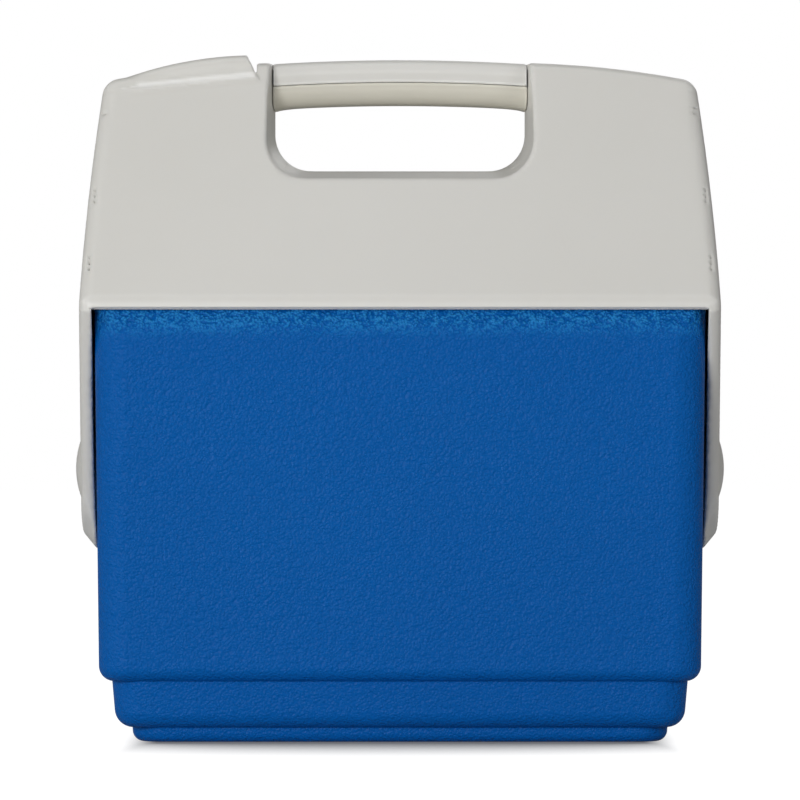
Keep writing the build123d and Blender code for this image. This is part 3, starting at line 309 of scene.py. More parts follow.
class Nodes:
    """A short way to add and wire nodes in one shader or geometry tree."""

    def __init__(self, tree: bpy.types.NodeTree) -> None:
        """Keeps the tree that is filled."""
        self.tree = tree

    def wire(self, node: bpy.types.Node, inputs: dict) -> None:
        """Sets or links a node's inputs.

        Args:
            node: the node.
            inputs: socket name or number to a value or to an output socket.
        """
        for name, value in inputs.items():
            socket = node.inputs[name]
            if isinstance(value, bpy.types.NodeSocket):
                self.tree.links.new(value, socket)
            else:
                socket.default_value = value

    def add(self, kind: str, inputs: dict | None = None, **settings: object) -> bpy.types.Node:
        """Adds a node.

        Args:
            kind: the node's type name.
            inputs: socket name or number to a value or to an output socket.
            settings: properties of the node itself.

        Returns:
            The new node.
        """
        node = self.tree.nodes.new(kind)
        for name, value in settings.items():
            setattr(node, name, value)
        self.wire(node, inputs or {})
        return node

    def math(self, operation: str, a: object, b: object = 0.0,
             clamp: bool = False) -> bpy.types.NodeSocket:
        """Adds a Math node on two numbers or sockets, and gives its output."""
        node = self.add("ShaderNodeMath", {0: a, 1: b}, operation=operation, use_clamp=clamp)
        return node.outputs[0]

    def vector_math(self, operation: str, inputs: dict) -> bpy.types.NodeSocket:
        """Adds a Vector Math node, and gives its output."""
        return self.add("ShaderNodeVectorMath", inputs, operation=operation).outputs[0]

    def mix_colour(self, factor: object, a: object, b: object) -> bpy.types.NodeSocket:
        """Adds a colour Mix node, whose factor is the second colour's share."""
        node = self.add("ShaderNodeMix", {0: factor, 6: a, 7: b}, data_type="RGBA")
        return node.outputs[2]

    def ramp(self, value: object, low: float, high: float) -> bpy.types.NodeSocket:
        """Adds a smooth step from 0 at the low value to 1 at the high one."""
        return self.add("ShaderNodeMapRange", {"Value": value, "From Min": low, "From Max": high},
                        interpolation_type="SMOOTHSTEP").outputs["Result"]

    def noise(self, where: object, scale: object, detail: float,
              roughness: float = 0.5) -> bpy.types.Node:
        """Adds a Noise Texture node."""
        return self.add("ShaderNodeTexNoise", {"Vector": where, "Scale": scale, "Detail": detail,
                                               "Roughness": roughness})

    def bump(self, height: object, depth: float, strength: float) -> bpy.types.NodeSocket:
        """Adds a Bump node, and gives its normal."""
        return self.add("ShaderNodeBump", {"Height": height, "Distance": depth,
                                           "Strength": strength}).outputs["Normal"]


def open_tree(kind: str, name: str, inputs: dict[str, tuple[str, object]],
              outputs: dict[str, str]) -> tuple[Nodes, dict, bpy.types.Node]:
    """Starts a node tree with named sockets.

    Args:
        kind: the tree's type name.
        name: the tree's name.
        inputs: input name to socket kind and default.
        outputs: output name to socket kind.

    Returns:
        Its node helper, its input sockets by name, and its output node.
    """
    tree = bpy.data.node_groups.new(name, kind)
    for label, (sort, default) in inputs.items():
        socket = tree.interface.new_socket(label, in_out="INPUT", socket_type="NodeSocket" + sort)
        if default is not None:
            socket.default_value = default
    for label, sort in outputs.items():
        tree.interface.new_socket(label, in_out="OUTPUT", socket_type="NodeSocket" + sort)
    nodes = Nodes(tree)
    start, end = nodes.add("NodeGroupInput"), nodes.add("NodeGroupOutput")
    return nodes, {s.name: s for s in start.outputs if s.name}, end


class Coat:
    """A material under way: its node helper, its Principled shader and its object coordinates."""

    def __init__(self, name: str) -> None:
        """Starts the material.

        Args:
            name: the material's name.
        """
        self.material = bpy.data.materials.new(name)
        self.material.use_nodes = True
        self.nodes = Nodes(self.material.node_tree)
        self.shader = self.material.node_tree.nodes["Principled BSDF"]
        self.where = self.nodes.add("ShaderNodeTexCoord").outputs["Object"]

    def close(self, inputs: dict) -> bpy.types.Material:
        """Wires the Principled shader, and gives the material."""
        self.nodes.wire(self.shader, inputs)
        return self.material


class Effect(Enum):
    """The shared surface effects, each a shader node group."""

    PEBBLE = "pebble_grain"
    TONE = "mould_tone"
    HANDLING = "handling_marks"
    DUST = "settled_dust"

    def open(self, inputs: dict, outputs: dict) -> tuple[Nodes, dict, bpy.types.Node]:
        """Starts the effect's group, which always takes the coordinates."""
        return open_tree("ShaderNodeTree", self.value, {"Vector": ("Vector", None), **inputs},
                         outputs)


@dataclass
class EffectShelf:
    """Builds each shared effect once. Scales are per metre, and pairs are where a step runs."""

    warp_scale: float = 420.0
    warp_reach: float = 0.0016
    pebble_smoothness: float = 0.35
    pebble_valley: tuple[float, float] = (0.45, 0.85)
    swell_scale: float = 260.0
    tone_step: tuple[float, float] = (0.35, 0.7)
    rubbed_scale: float = 28.0
    hair_turn: tuple[float, float, float] = (0.2, 0.5, 0.3)
    hair_scale: tuple[float, float, float] = (14.0, 620.0, 330.0)
    hair_step: tuple[float, float] = (0.69, 0.76)
    hair_share: float = 0.8
    dust_upwards: tuple[float, float] = (0.55, 1.0)
    dust_scale: float = 75.0
    dust_breaks: tuple[float, float] = (0.3, 0.75)
    groups: dict[Effect, bpy.types.NodeTree] = field(default_factory=dict)

    def __post_init__(self) -> None:
        """Makes the groups."""
        self.groups = {Effect.PEBBLE: self._pebble(), Effect.TONE: self._tone(),
                       Effect.HANDLING: self._handling(), Effect.DUST: self._dust()}

    def place(self, coat: Coat, effect: Effect, inputs: dict) -> bpy.types.Node:
        """Puts an effect into a material, with its values or sockets by name."""
        return coat.nodes.add("ShaderNodeGroup", {"Vector": coat.where, **inputs},
                              node_tree=self.groups[effect])

    def _pebble(self) -> bpy.types.NodeTree:
        """Moulded leather-like grain: uneven rounded pebbles parted by fine valleys.

        Returns:
            The group.
        """
        nodes, given, end = Effect.PEBBLE.open(
            {"Pebbles per Metre": ("Float", 700.0), "Unevenness": ("Float", 0.5)},
            {"Height": "Float", "Valley": "Float"})
        where = given["Vector"]
        warp = nodes.noise(where, self.warp_scale, 2.0).outputs["Color"]
        push = nodes.vector_math("SUBTRACT", {0: warp, 1: (0.5, 0.5, 0.5)})
        push = nodes.vector_math("SCALE", {0: push, "Scale": self.warp_reach})
        cells = nodes.add("ShaderNodeTexVoronoi",
                          {"Vector": nodes.vector_math("ADD", {0: where, 1: push}),
                           "Scale": given["Pebbles per Metre"], "Smoothness": self.pebble_smoothness},
                          feature="SMOOTH_F1").outputs["Distance"]
        dome = nodes.math("SUBTRACT", 1.0, cells, clamp=True)
        swell = nodes.noise(where, self.swell_scale, 1.0).outputs[0]
        rough = nodes.math("MULTIPLY", swell, given["Unevenness"])
        nodes.wire(end, {"Height": nodes.math("ADD", dome, rough),
                         "Valley": nodes.ramp(cells, *self.pebble_valley)})
        return nodes.tree

    def _tone(self) -> bpy.types.NodeTree:
        """Slow variation of a moulding's colour, as pigment and wall thickness give.

        Returns:
            The group.
        """
        nodes, given, end = Effect.TONE.open(
            {"Colour": ("Color", (0.5, 0.5, 0.5, 1)), "Second Colour": ("Color", (0.4, 0.4, 0.4, 1)),
             "Amount": ("Float", 0.5), "Patches per Metre": ("Float", 9.0)}, {"Colour": "Color"})
        broad = nodes.noise(given["Vector"], given["Patches per Metre"], 2.0).outputs[0]
        mask = nodes.math("MULTIPLY", nodes.ramp(broad, *self.tone_step), given["Amount"])
        nodes.wire(end, {"Colour": nodes.mix_colour(mask, given["Colour"],
                                                    given["Second Colour"])})
        return nodes.tree

    def _handling(self) -> bpy.types.NodeTree:
        """Faint rubbed patches and hairline scratches that change the roughness.

        Returns:
            The group.
        """
        nodes, given, end = Effect.HANDLING.open(
            {"Roughness": ("Float", 0.4), "Amount": ("Float", 0.1)}, {"Roughness": "Float"})
        rubbed = nodes.noise(given["Vector"], self.rubbed_scale, 5.0, 0.6).outputs[0]
        long_way = nodes.add("ShaderNodeMapping", {
            "Vector": given["Vector"], "Rotation": self.hair_turn, "Scale": self.hair_scale})
        hairs = nodes.noise(long_way.outputs[0], 1.0, 2.0).outputs[0]
        hair = nodes.math("MULTIPLY", nodes.ramp(hairs, *self.hair_step), self.hair_share)
        both = nodes.math("ADD", nodes.math("SUBTRACT", rubbed, 0.5), hair)
        moved = nodes.math("MULTIPLY", both, given["Amount"])
        nodes.wire(end, {"Roughness": nodes.math("ADD", given["Roughness"], moved, clamp=True)})
        return nodes.tree

    def _dust(self) -> bpy.types.NodeTree:
        """A thin pale film on faces that look upwards, broken up by noise.

        Returns:
            The group.
        """
        nodes, given, end = Effect.DUST.open(
            {"Colour": ("Color", (0.5, 0.5, 0.5, 1)), "Dust Colour": ("Color", (0.6, 0.58, 0.55, 1)),
             "Amount": ("Float", 0.1)}, {"Colour": "Color"})
        facing = nodes.add("ShaderNodeSeparateXYZ",
                           {0: nodes.add("ShaderNodeNewGeometry").outputs["Normal"]})
        upwards = nodes.ramp(facing.outputs[2], *self.dust_upwards)
        flecks = nodes.noise(given["Vector"], self.dust_scale, 4.0).outputs[0]
        broken = nodes.ramp(flecks, *self.dust_breaks)
        film = nodes.math("MULTIPLY", nodes.math("MULTIPLY", upwards, broken), given["Amount"])
        nodes.wire(end, {"Colour": nodes.mix_colour(film, given["Colour"],
                                                    given["Dust Colour"])})
        return nodes.tree


# ---------------------------------------------------------------- finishes

@dataclass(frozen=True)
class TexturedPlastic:
    """Coloured polyethylene with a moulded pebble grain, coarser along the rim, with glints painted
    pale on the pebble crowns there.
    """

    name: str
    colour: Colour
    deep_colour: Colour
    valley_shade_colour: Colour
    rim_glint_colour: Colour
    tone_share: float = 0.5
    tone_patches: float = 7.0
    pebbles: float = 820.0
    unevenness: float = 0.9
    valley_shade_share: float = 0.2
    rim_band: tuple[float, float] = (0.184, 0.196)
    rim_coarseness: float = 0.9
    rim_glint_crowns: tuple[float, float] = (0.75, 1.25)
    rim_glint_share: float = 0.6
    dust_colour: Colour = (0.25, 0.34, 0.45, 1.0)
    dust: float = 0.05
    roughness: float = 0.4
    marks: float = 0.12
    shine: float = 0.08
    depth: float = 0.0005
    strength: float = 1.0

    def material(self, shelf: EffectShelf) -> bpy.types.Material:
        """Makes the finish.

        Args:
            shelf: the shared effects.

        Returns:
            The material.
        """
        coat = Coat(self.name)
        nodes = coat.nodes
        tone = shelf.place(coat, Effect.TONE, {
            "Colour": self.colour, "Second Colour": self.deep_colour,
            "Amount": self.tone_share, "Patches per Metre": self.tone_patches})
        grain = shelf.place(coat, Effect.PEBBLE, {"Pebbles per Metre": self.pebbles,
                                                  "Unevenness": self.unevenness})
        height = grain.outputs["Height"]
        # painted shade: the valleys between the pebbles are darkened towards the valley shade colour
        valley = nodes.math("MULTIPLY", grain.outputs["Valley"], self.valley_shade_share)
        colour = nodes.mix_colour(valley, tone.outputs["Colour"], self.valley_shade_colour)
        level = nodes.add("ShaderNodeSeparateXYZ", {0: coat.where}).outputs[2]
        rim = nodes.ramp(level, *self.rim_band)
        # painted highlight: the pebble crowns in the band under the rim are paled, as glints where the
        # rounded shoulder catches light
        crown = nodes.math("MULTIPLY", nodes.ramp(height, *self.rim_glint_crowns), rim)
        colour = nodes.mix_colour(nodes.math("MULTIPLY", crown, self.rim_glint_share), colour,
                                  self.rim_glint_colour)
        dusty = shelf.place(coat, Effect.DUST, {
            "Colour": colour, "Dust Colour": self.dust_colour, "Amount": self.dust})
        worn = shelf.place(coat, Effect.HANDLING, {"Roughness": self.roughness,
                                                   "Amount": self.marks})
        coarse = nodes.math("ADD", 1.0, nodes.math("MULTIPLY", rim, self.rim_coarseness))
        return coat.close({
            "Base Color": dusty.outputs["Colour"], "Roughness": worn.outputs["Roughness"],
            "Normal": nodes.bump(nodes.math("MULTIPLY", height, coarse), self.depth,
                                 self.strength),
            "Specular IOR Level": self.shine})


@dataclass(frozen=True)
class SatinPlastic:
    """Smooth satin plastic, faintly uneven, paler along its worn crests and along the painted
    highlight that the crest attribute also holds.
    """

    name: str
    colour: Colour
    second_colour: Colour
    crest_colour: Colour
    tone_share: float = 0.6
    tone_patches: float = 6.0
    crest_share: float = 0.8
    dust_colour: Colour = (0.5, 0.48, 0.43, 1.0)
    dust: float = 0.08
    roughness: float = 0.4
    marks: float = 0.1
    fine_grain: tuple[float, float] = (1500.0, 0.12)
    slow_swell: tuple[float, float] = (22.0, 5.0)
    sink: float = 0.00012
    sink_strength: float = 0.5
    glow: float = 0.0
    glow_colour: tuple[float, float, float] = (0.6, 0.5, 0.4)
    glow_depth: float = 0.004

    def material(self, shelf: EffectShelf) -> bpy.types.Material:
        """Makes the finish.

        Args:
            shelf: the shared effects.

        Returns:
            The material.
        """
        coat = Coat(self.name)
        nodes = coat.nodes
        tone = shelf.place(coat, Effect.TONE, {
            "Colour": self.colour, "Second Colour": self.second_colour,
            "Amount": self.tone_share, "Patches per Metre": self.tone_patches})
        # the crest attribute holds edge wear, and on the lid also a painted highlight along the
        # housing's foot; both are mixed towards the crest colour
        crest = nodes.add("ShaderNodeAttribute", attribute_name="crest")
        rubbed = nodes.math("MULTIPLY", crest.outputs["Fac"], self.crest_share)
        colour = nodes.mix_colour(rubbed, tone.outputs["Colour"], self.crest_colour)
        dusty = shelf.place(coat, Effect.DUST, {
            "Colour": colour, "Dust Colour": self.dust_colour, "Amount": self.dust})
        worn = shelf.place(coat, Effect.HANDLING, {"Roughness": self.roughness,
                                                   "Amount": self.marks})
        (fine, fine_height), (slow, slow_height) = self.fine_grain, self.slow_swell
        grain = nodes.math("MULTIPLY", nodes.noise(coat.where, fine, 2.0).outputs[0], fine_height)
        swell = nodes.math("MULTIPLY", nodes.noise(coat.where, slow, 1.0).outputs[0], slow_height)
        return coat.close({
            "Base Color": dusty.outputs["Colour"], "Roughness": worn.outputs["Roughness"],
            "Normal": nodes.bump(nodes.math("ADD", grain, swell), self.sink, self.sink_strength),
            "Subsurface Weight": self.glow, "Subsurface Radius": self.glow_colour,
            "Subsurface Scale": self.glow_depth})


@dataclass(frozen=True)
class DrawnSteel:
    """Plated steel wire, pins and screws."""

    name: str
    colour: Colour
    dull_colour: Colour = (0.3, 0.29, 0.27, 1.0)
    dull_share: float = 0.35
    dull_patches: float = 160.0
    roughness: float = 0.3
    marks: float = 0.35
    draw_lines: float = 2600.0
    draw_depth: float = 0.00003
    draw_strength: float = 0.3

    def material(self, shelf: EffectShelf) -> bpy.types.Material:
        """Makes the finish.

        Args:
            shelf: the shared effects.

        Returns:
            The material.
        """
        coat = Coat(self.name)
        tone = shelf.place(coat, Effect.TONE, {
            "Colour": self.colour, "Second Colour": self.dull_colour,
            "Amount": self.dull_share, "Patches per Metre": self.dull_patches})
        worn = shelf.place(coat, Effect.HANDLING, {"Roughness": self.roughness,
                                                   "Amount": self.marks})
        drawn = coat.nodes.noise(coat.where, self.draw_lines, 1.0).outputs[0]
        return coat.close({
            "Base Color": tone.outputs["Colour"], "Roughness": worn.outputs["Roughness"],
            "Normal": coat.nodes.bump(drawn, self.draw_depth, self.draw_strength),
            "Metallic": 1.0})


@dataclass(frozen=True)
class RigidFoam:
    """Poured insulation foam: closed cells under a thin skin."""

    name: str
    colour: Colour
    cell_shade_colour: Colour
    cells: float = 1400.0
    unevenness: float = 0.4
    depth: float = 0.0003
    strength: float = 0.5
    roughness: float = 0.85

    def material(self, shelf: EffectShelf) -> bpy.types.Material:
        """Makes the finish.

        Args:
            shelf: the shared effects.

        Returns:
            The material.
        """
        coat = Coat(self.name)
        cells = shelf.place(coat, Effect.PEBBLE, {"Pebbles per Metre": self.cells,
                                                  "Unevenness": self.unevenness})
        # painted shade: the valleys between the foam cells are darkened towards the cell shade colour
        return coat.close({
            "Base Color": coat.nodes.mix_colour(cells.outputs["Valley"], self.colour,
                                                self.cell_shade_colour),
            "Normal": coat.nodes.bump(cells.outputs["Height"], self.depth, self.strength),
            "Roughness": self.roughness})


@dataclass
class FinishBook:
    """Every finish of the carrier, made once."""

    shelf: EffectShelf = field(default_factory=EffectShelf)
    made: dict[str, bpy.types.Material] = field(default_factory=dict)

    def fill(self) -> None:
        """Makes all the finishes."""
        finishes = (
            TexturedPlastic("blue_pebbled_plastic", (0.0002, 0.1, 0.385, 1.0),
                            (0.0002, 0.09, 0.355, 1.0), (0.0002, 0.065, 0.31, 1.0),
                            (0.03, 0.32, 0.75, 1.0)),
            SatinPlastic("off_white_satin_plastic", (0.665, 0.655, 0.62, 1.0),
                         (0.63, 0.62, 0.58, 1.0), (0.88, 0.875, 0.85, 1.0), glow=0.06),
            SatinPlastic("cream_grip_plastic", (0.61, 0.585, 0.5, 1.0),
                         (0.575, 0.55, 0.465, 1.0), (0.72, 0.7, 0.62, 1.0), roughness=0.44, glow=0.06),
            SatinPlastic("white_liner_plastic", (0.77, 0.775, 0.77, 1.0),
                         (0.72, 0.725, 0.72, 1.0), (0.8, 0.8, 0.8, 1.0), roughness=0.27, dust=0.03),
            SatinPlastic("charcoal_trim_plastic", (0.028, 0.03, 0.034, 1.0),
                         (0.02, 0.021, 0.024, 1.0), (0.07, 0.07, 0.075, 1.0), roughness=0.5),
            DrawnSteel("plated_screw_steel", (0.56, 0.56, 0.55, 1.0)),
            DrawnSteel("bright_pin_steel", (0.66, 0.66, 0.66, 1.0), roughness=0.2),
            RigidFoam("buff_rigid_foam", (0.72, 0.6, 0.36, 1.0), (0.55, 0.43, 0.22, 1.0)),
        )
        for finish in finishes:
            self.made[finish.name] = finish.material(self.shelf)

    def put_on(self, piece: bpy.types.Object, finish: str) -> None:
        """Gives a piece the named finish and no other."""
        piece.data.materials.clear()
        piece.data.materials.append(self.made[finish])


# ---------------------------------------------------------------- Geometry Nodes

class GeometryTree:
    """A Geometry Nodes tree with named inputs that ends in Realize Instances and Set Material."""

    def __init__(self, name: str, inputs: dict[str, tuple[str, object]]) -> None:
        """Starts the tree.

        Args:
            name: the tree's name.
            inputs: input name to socket kind and default, next to the geometry and the material.
        """
        self.nodes, self.given, self.end = open_tree(
            "GeometryNodeTree", name,
            {"Geometry": ("Geometry", None), **inputs, "Material": ("Material", None)},
            {"Geometry": "Geometry"})

    def lift(self, geometry: bpy.types.NodeSocket, height: object) -> bpy.types.NodeSocket:
        """Moves a shape up by a number or socket, and gives its output."""
        way = self.nodes.add("ShaderNodeCombineXYZ", {2: height})
        return self.nodes.add("GeometryNodeTransform", {
            "Geometry": geometry, "Translation": way.outputs[0]}).outputs[0]

    def rod(self, sides: int, radius: object, length: object,
            middle: object) -> bpy.types.NodeSocket:
        """Adds an upright closed cylinder with its middle at a height, and gives its output."""
        bar = self.nodes.add("GeometryNodeMeshCylinder", {"Vertices": sides, "Radius": radius,
                                                          "Depth": length})
        return self.lift(bar.outputs["Mesh"], middle)

    def helix(self, steps: int, turns: object, radius: object,
              height: object) -> bpy.types.NodeSocket:
        """Adds a curve that climbs round the upright axis, and gives its output."""
        return self.nodes.add("GeometryNodeCurveSpiral", {
            "Resolution": steps, "Rotations": turns, "Start Radius": radius, "End Radius": radius,
            "Height": height}).outputs[0]

    def round_wire(self, curve: bpy.types.NodeSocket, sides: int,
                   radius: object) -> bpy.types.NodeSocket:
        """Adds a closed round wire along a curve, and gives its output."""
        section = self.nodes.add("GeometryNodeCurvePrimitiveCircle", {"Resolution": sides,
                                                                      "Radius": radius})
        return self.nodes.add("GeometryNodeCurveToMesh", {
            "Curve": curve, "Profile Curve": section.outputs[0], "Fill Caps": True}).outputs[0]

    def close(self, geometry: bpy.types.NodeSocket) -> None:
        """Ends the tree.

        Args:
            geometry: what the tree has made.
        """
        real = self.nodes.add("GeometryNodeRealizeInstances", {0: geometry})
        dressed = self.nodes.add("GeometryNodeSetMaterial", {"Geometry": real.outputs[0],
                                                             "Material": self.given["Material"]})
        self.nodes.wire(self.end, {0: dressed.outputs[0]})

    def bake(self, name: str, base: bpy.types.Mesh, values: dict) -> bpy.types.Object:
        """Runs the tree on a mesh and keeps the result as a plain mesh.

        Args:
            name: the new object's name.
            base: the mesh that the tree starts from.
            values: values of the named inputs.

        Returns:
            The finished object, with no modifier.
        """
        carrier = bpy.data.objects.new(name + "_base", base)
        bpy.context.scene.collection.objects.link(carrier)
        modifier = carrier.modifiers.new(name, "NODES")
        modifier.node_group = self.nodes.tree
        sockets = {i.name: i.identifier for i in self.nodes.tree.interface.items_tree
                   if getattr(i, "in_out", "") == "INPUT"}
        for label, value in values.items():
            modifier[sockets[label]] = value
        bpy.context.view_layer.update()
        seen = carrier.evaluated_get(bpy.context.evaluated_depsgraph_get())
        mesh = bpy.data.meshes.new_from_object(seen)
        mesh.name = name
        bpy.data.objects.remove(carrier)
        made = bpy.data.objects.new(name, mesh)
        bpy.context.scene.collection.objects.link(made)
        return made


def screw_tree() -> GeometryTree:
    """Builds the tree that sets a pan-head screw on each point, along the point's facing.

    Returns:
        The tree.
    """
    made = GeometryTree("pan_head_screws", {
        "Head Radius": ("Float", 0.0033), "Head Height": ("Float", 0.002),
        "Skirt Share": ("Float", 0.55), "Crown Share": ("Float", 0.74),
        "Shank Radius": ("Float", 0.0016), "Shank Length": ("Float", 0.01),
        "Drive Radius": ("Float", 0.0012), "Threads": ("Int", 8),
        "Thread Radius": ("Float", 0.00022)})
    nodes, given = made.nodes, made.given
    head, height = given["Head Radius"], given["Head Height"]
    shank, length = given["Shank Radius"], given["Shank Length"]
    low = nodes.math("MULTIPLY", height, given["Skirt Share"])
    skirt = made.rod(32, head, low, nodes.math("MULTIPLY", low, 0.5))
    crown = nodes.add("GeometryNodeMeshCone", {
        "Vertices": 32, "Radius Bottom": head, "Depth": nodes.math("SUBTRACT", height, low),
        "Radius Top": nodes.math("MULTIPLY", head, given["Crown Share"])})
    top = nodes.add("GeometryNodeMeshBoolean", {
        "Mesh 1": made.lift(crown.outputs["Mesh"], low),
        "Mesh 2": made.rod(6, given["Drive Radius"], height, height)}, operation="DIFFERENCE")
    stem = made.rod(20, shank, length, nodes.math("MULTIPLY", length, -0.5))
    ridge = made.lift(made.helix(20, given["Threads"], shank, length),
                      nodes.math("MULTIPLY", length, -1.0))
    thread = made.round_wire(ridge, 5, given["Thread Radius"])
    whole = nodes.add("GeometryNodeJoinGeometry")
    for part in (skirt, top.outputs[0], stem, thread):
        nodes.wire(whole, {0: part})
    facing = nodes.add("GeometryNodeInputNamedAttribute", {"Name": "facing"},
                       data_type="FLOAT_VECTOR")
    turn = nodes.add("FunctionNodeAlignRotationToVector", {"Vector": facing.outputs[0]}, axis="Z")
    spread = nodes.add("GeometryNodeInstanceOnPoints", {
        "Points": given["Geometry"], "Instance": whole.outputs[0], "Rotation": turn.outputs[0]})
    made.close(spread.outputs[0])
    return made


def spring_tree() -> GeometryTree:
    """Builds the tree of an upright wire coil.

    Returns:
        The tree.
    """
    made = GeometryTree("wire_coil", {
        "Place": ("Vector", (0.0, 0.0, 0.0)), "Coil Radius": ("Float", 0.0028),
        "Wire Radius": ("Float", 0.0005), "Height": ("Float", 0.014), "Turns": ("Float", 5.0)})
    given = made.given
    coil = made.helix(32, given["Turns"], given["Coil Radius"], given["Height"])
    smooth = made.nodes.add("GeometryNodeSetShadeSmooth", {
        "Geometry": made.round_wire(coil, 12, given["Wire Radius"])})
    placed = made.nodes.add("GeometryNodeTransform", {"Geometry": smooth.outputs[0],
                                                      "Translation": given["Place"]})
    made.close(placed.outputs[0])
    return made


def soft_shading_tree() -> bpy.types.NodeTree:
    """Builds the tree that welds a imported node's loose triangles and shades its curves smooth.

    Returns:
        The tree.
    """
    nodes, given, end = open_tree(
        "GeometryNodeTree", "weld_and_shade",
        {"Geometry": ("Geometry", None), "Crease Angle": ("Float", math.radians(33.0)),
         "Weld Distance": ("Float", 0.000002)}, {"Geometry": "Geometry"})
    weld = nodes.add("GeometryNodeMergeByDistance", {"Geometry": given["Geometry"],
                                                     "Distance": given["Weld Distance"]})
    smooth = nodes.add("GeometryNodeSetShadeSmooth", {"Geometry": weld.outputs[0]}, domain="FACE")
    angle = nodes.add("GeometryNodeInputMeshEdgeAngle")
    soft = nodes.add("FunctionNodeCompare", {0: angle.outputs["Unsigned Angle"],
                                             1: given["Crease Angle"]},
                     data_type="FLOAT", operation="LESS_THAN")
    edges = nodes.add("GeometryNodeSetShadeSmooth", {"Geometry": smooth.outputs[0],
                                                     "Shade Smooth": soft.outputs[0]}, domain="EDGE")
    nodes.wire(end, {0: edges.outputs[0]})
    return nodes.tree


# ---------------------------------------------------------------- the carrier's sub-assemblies

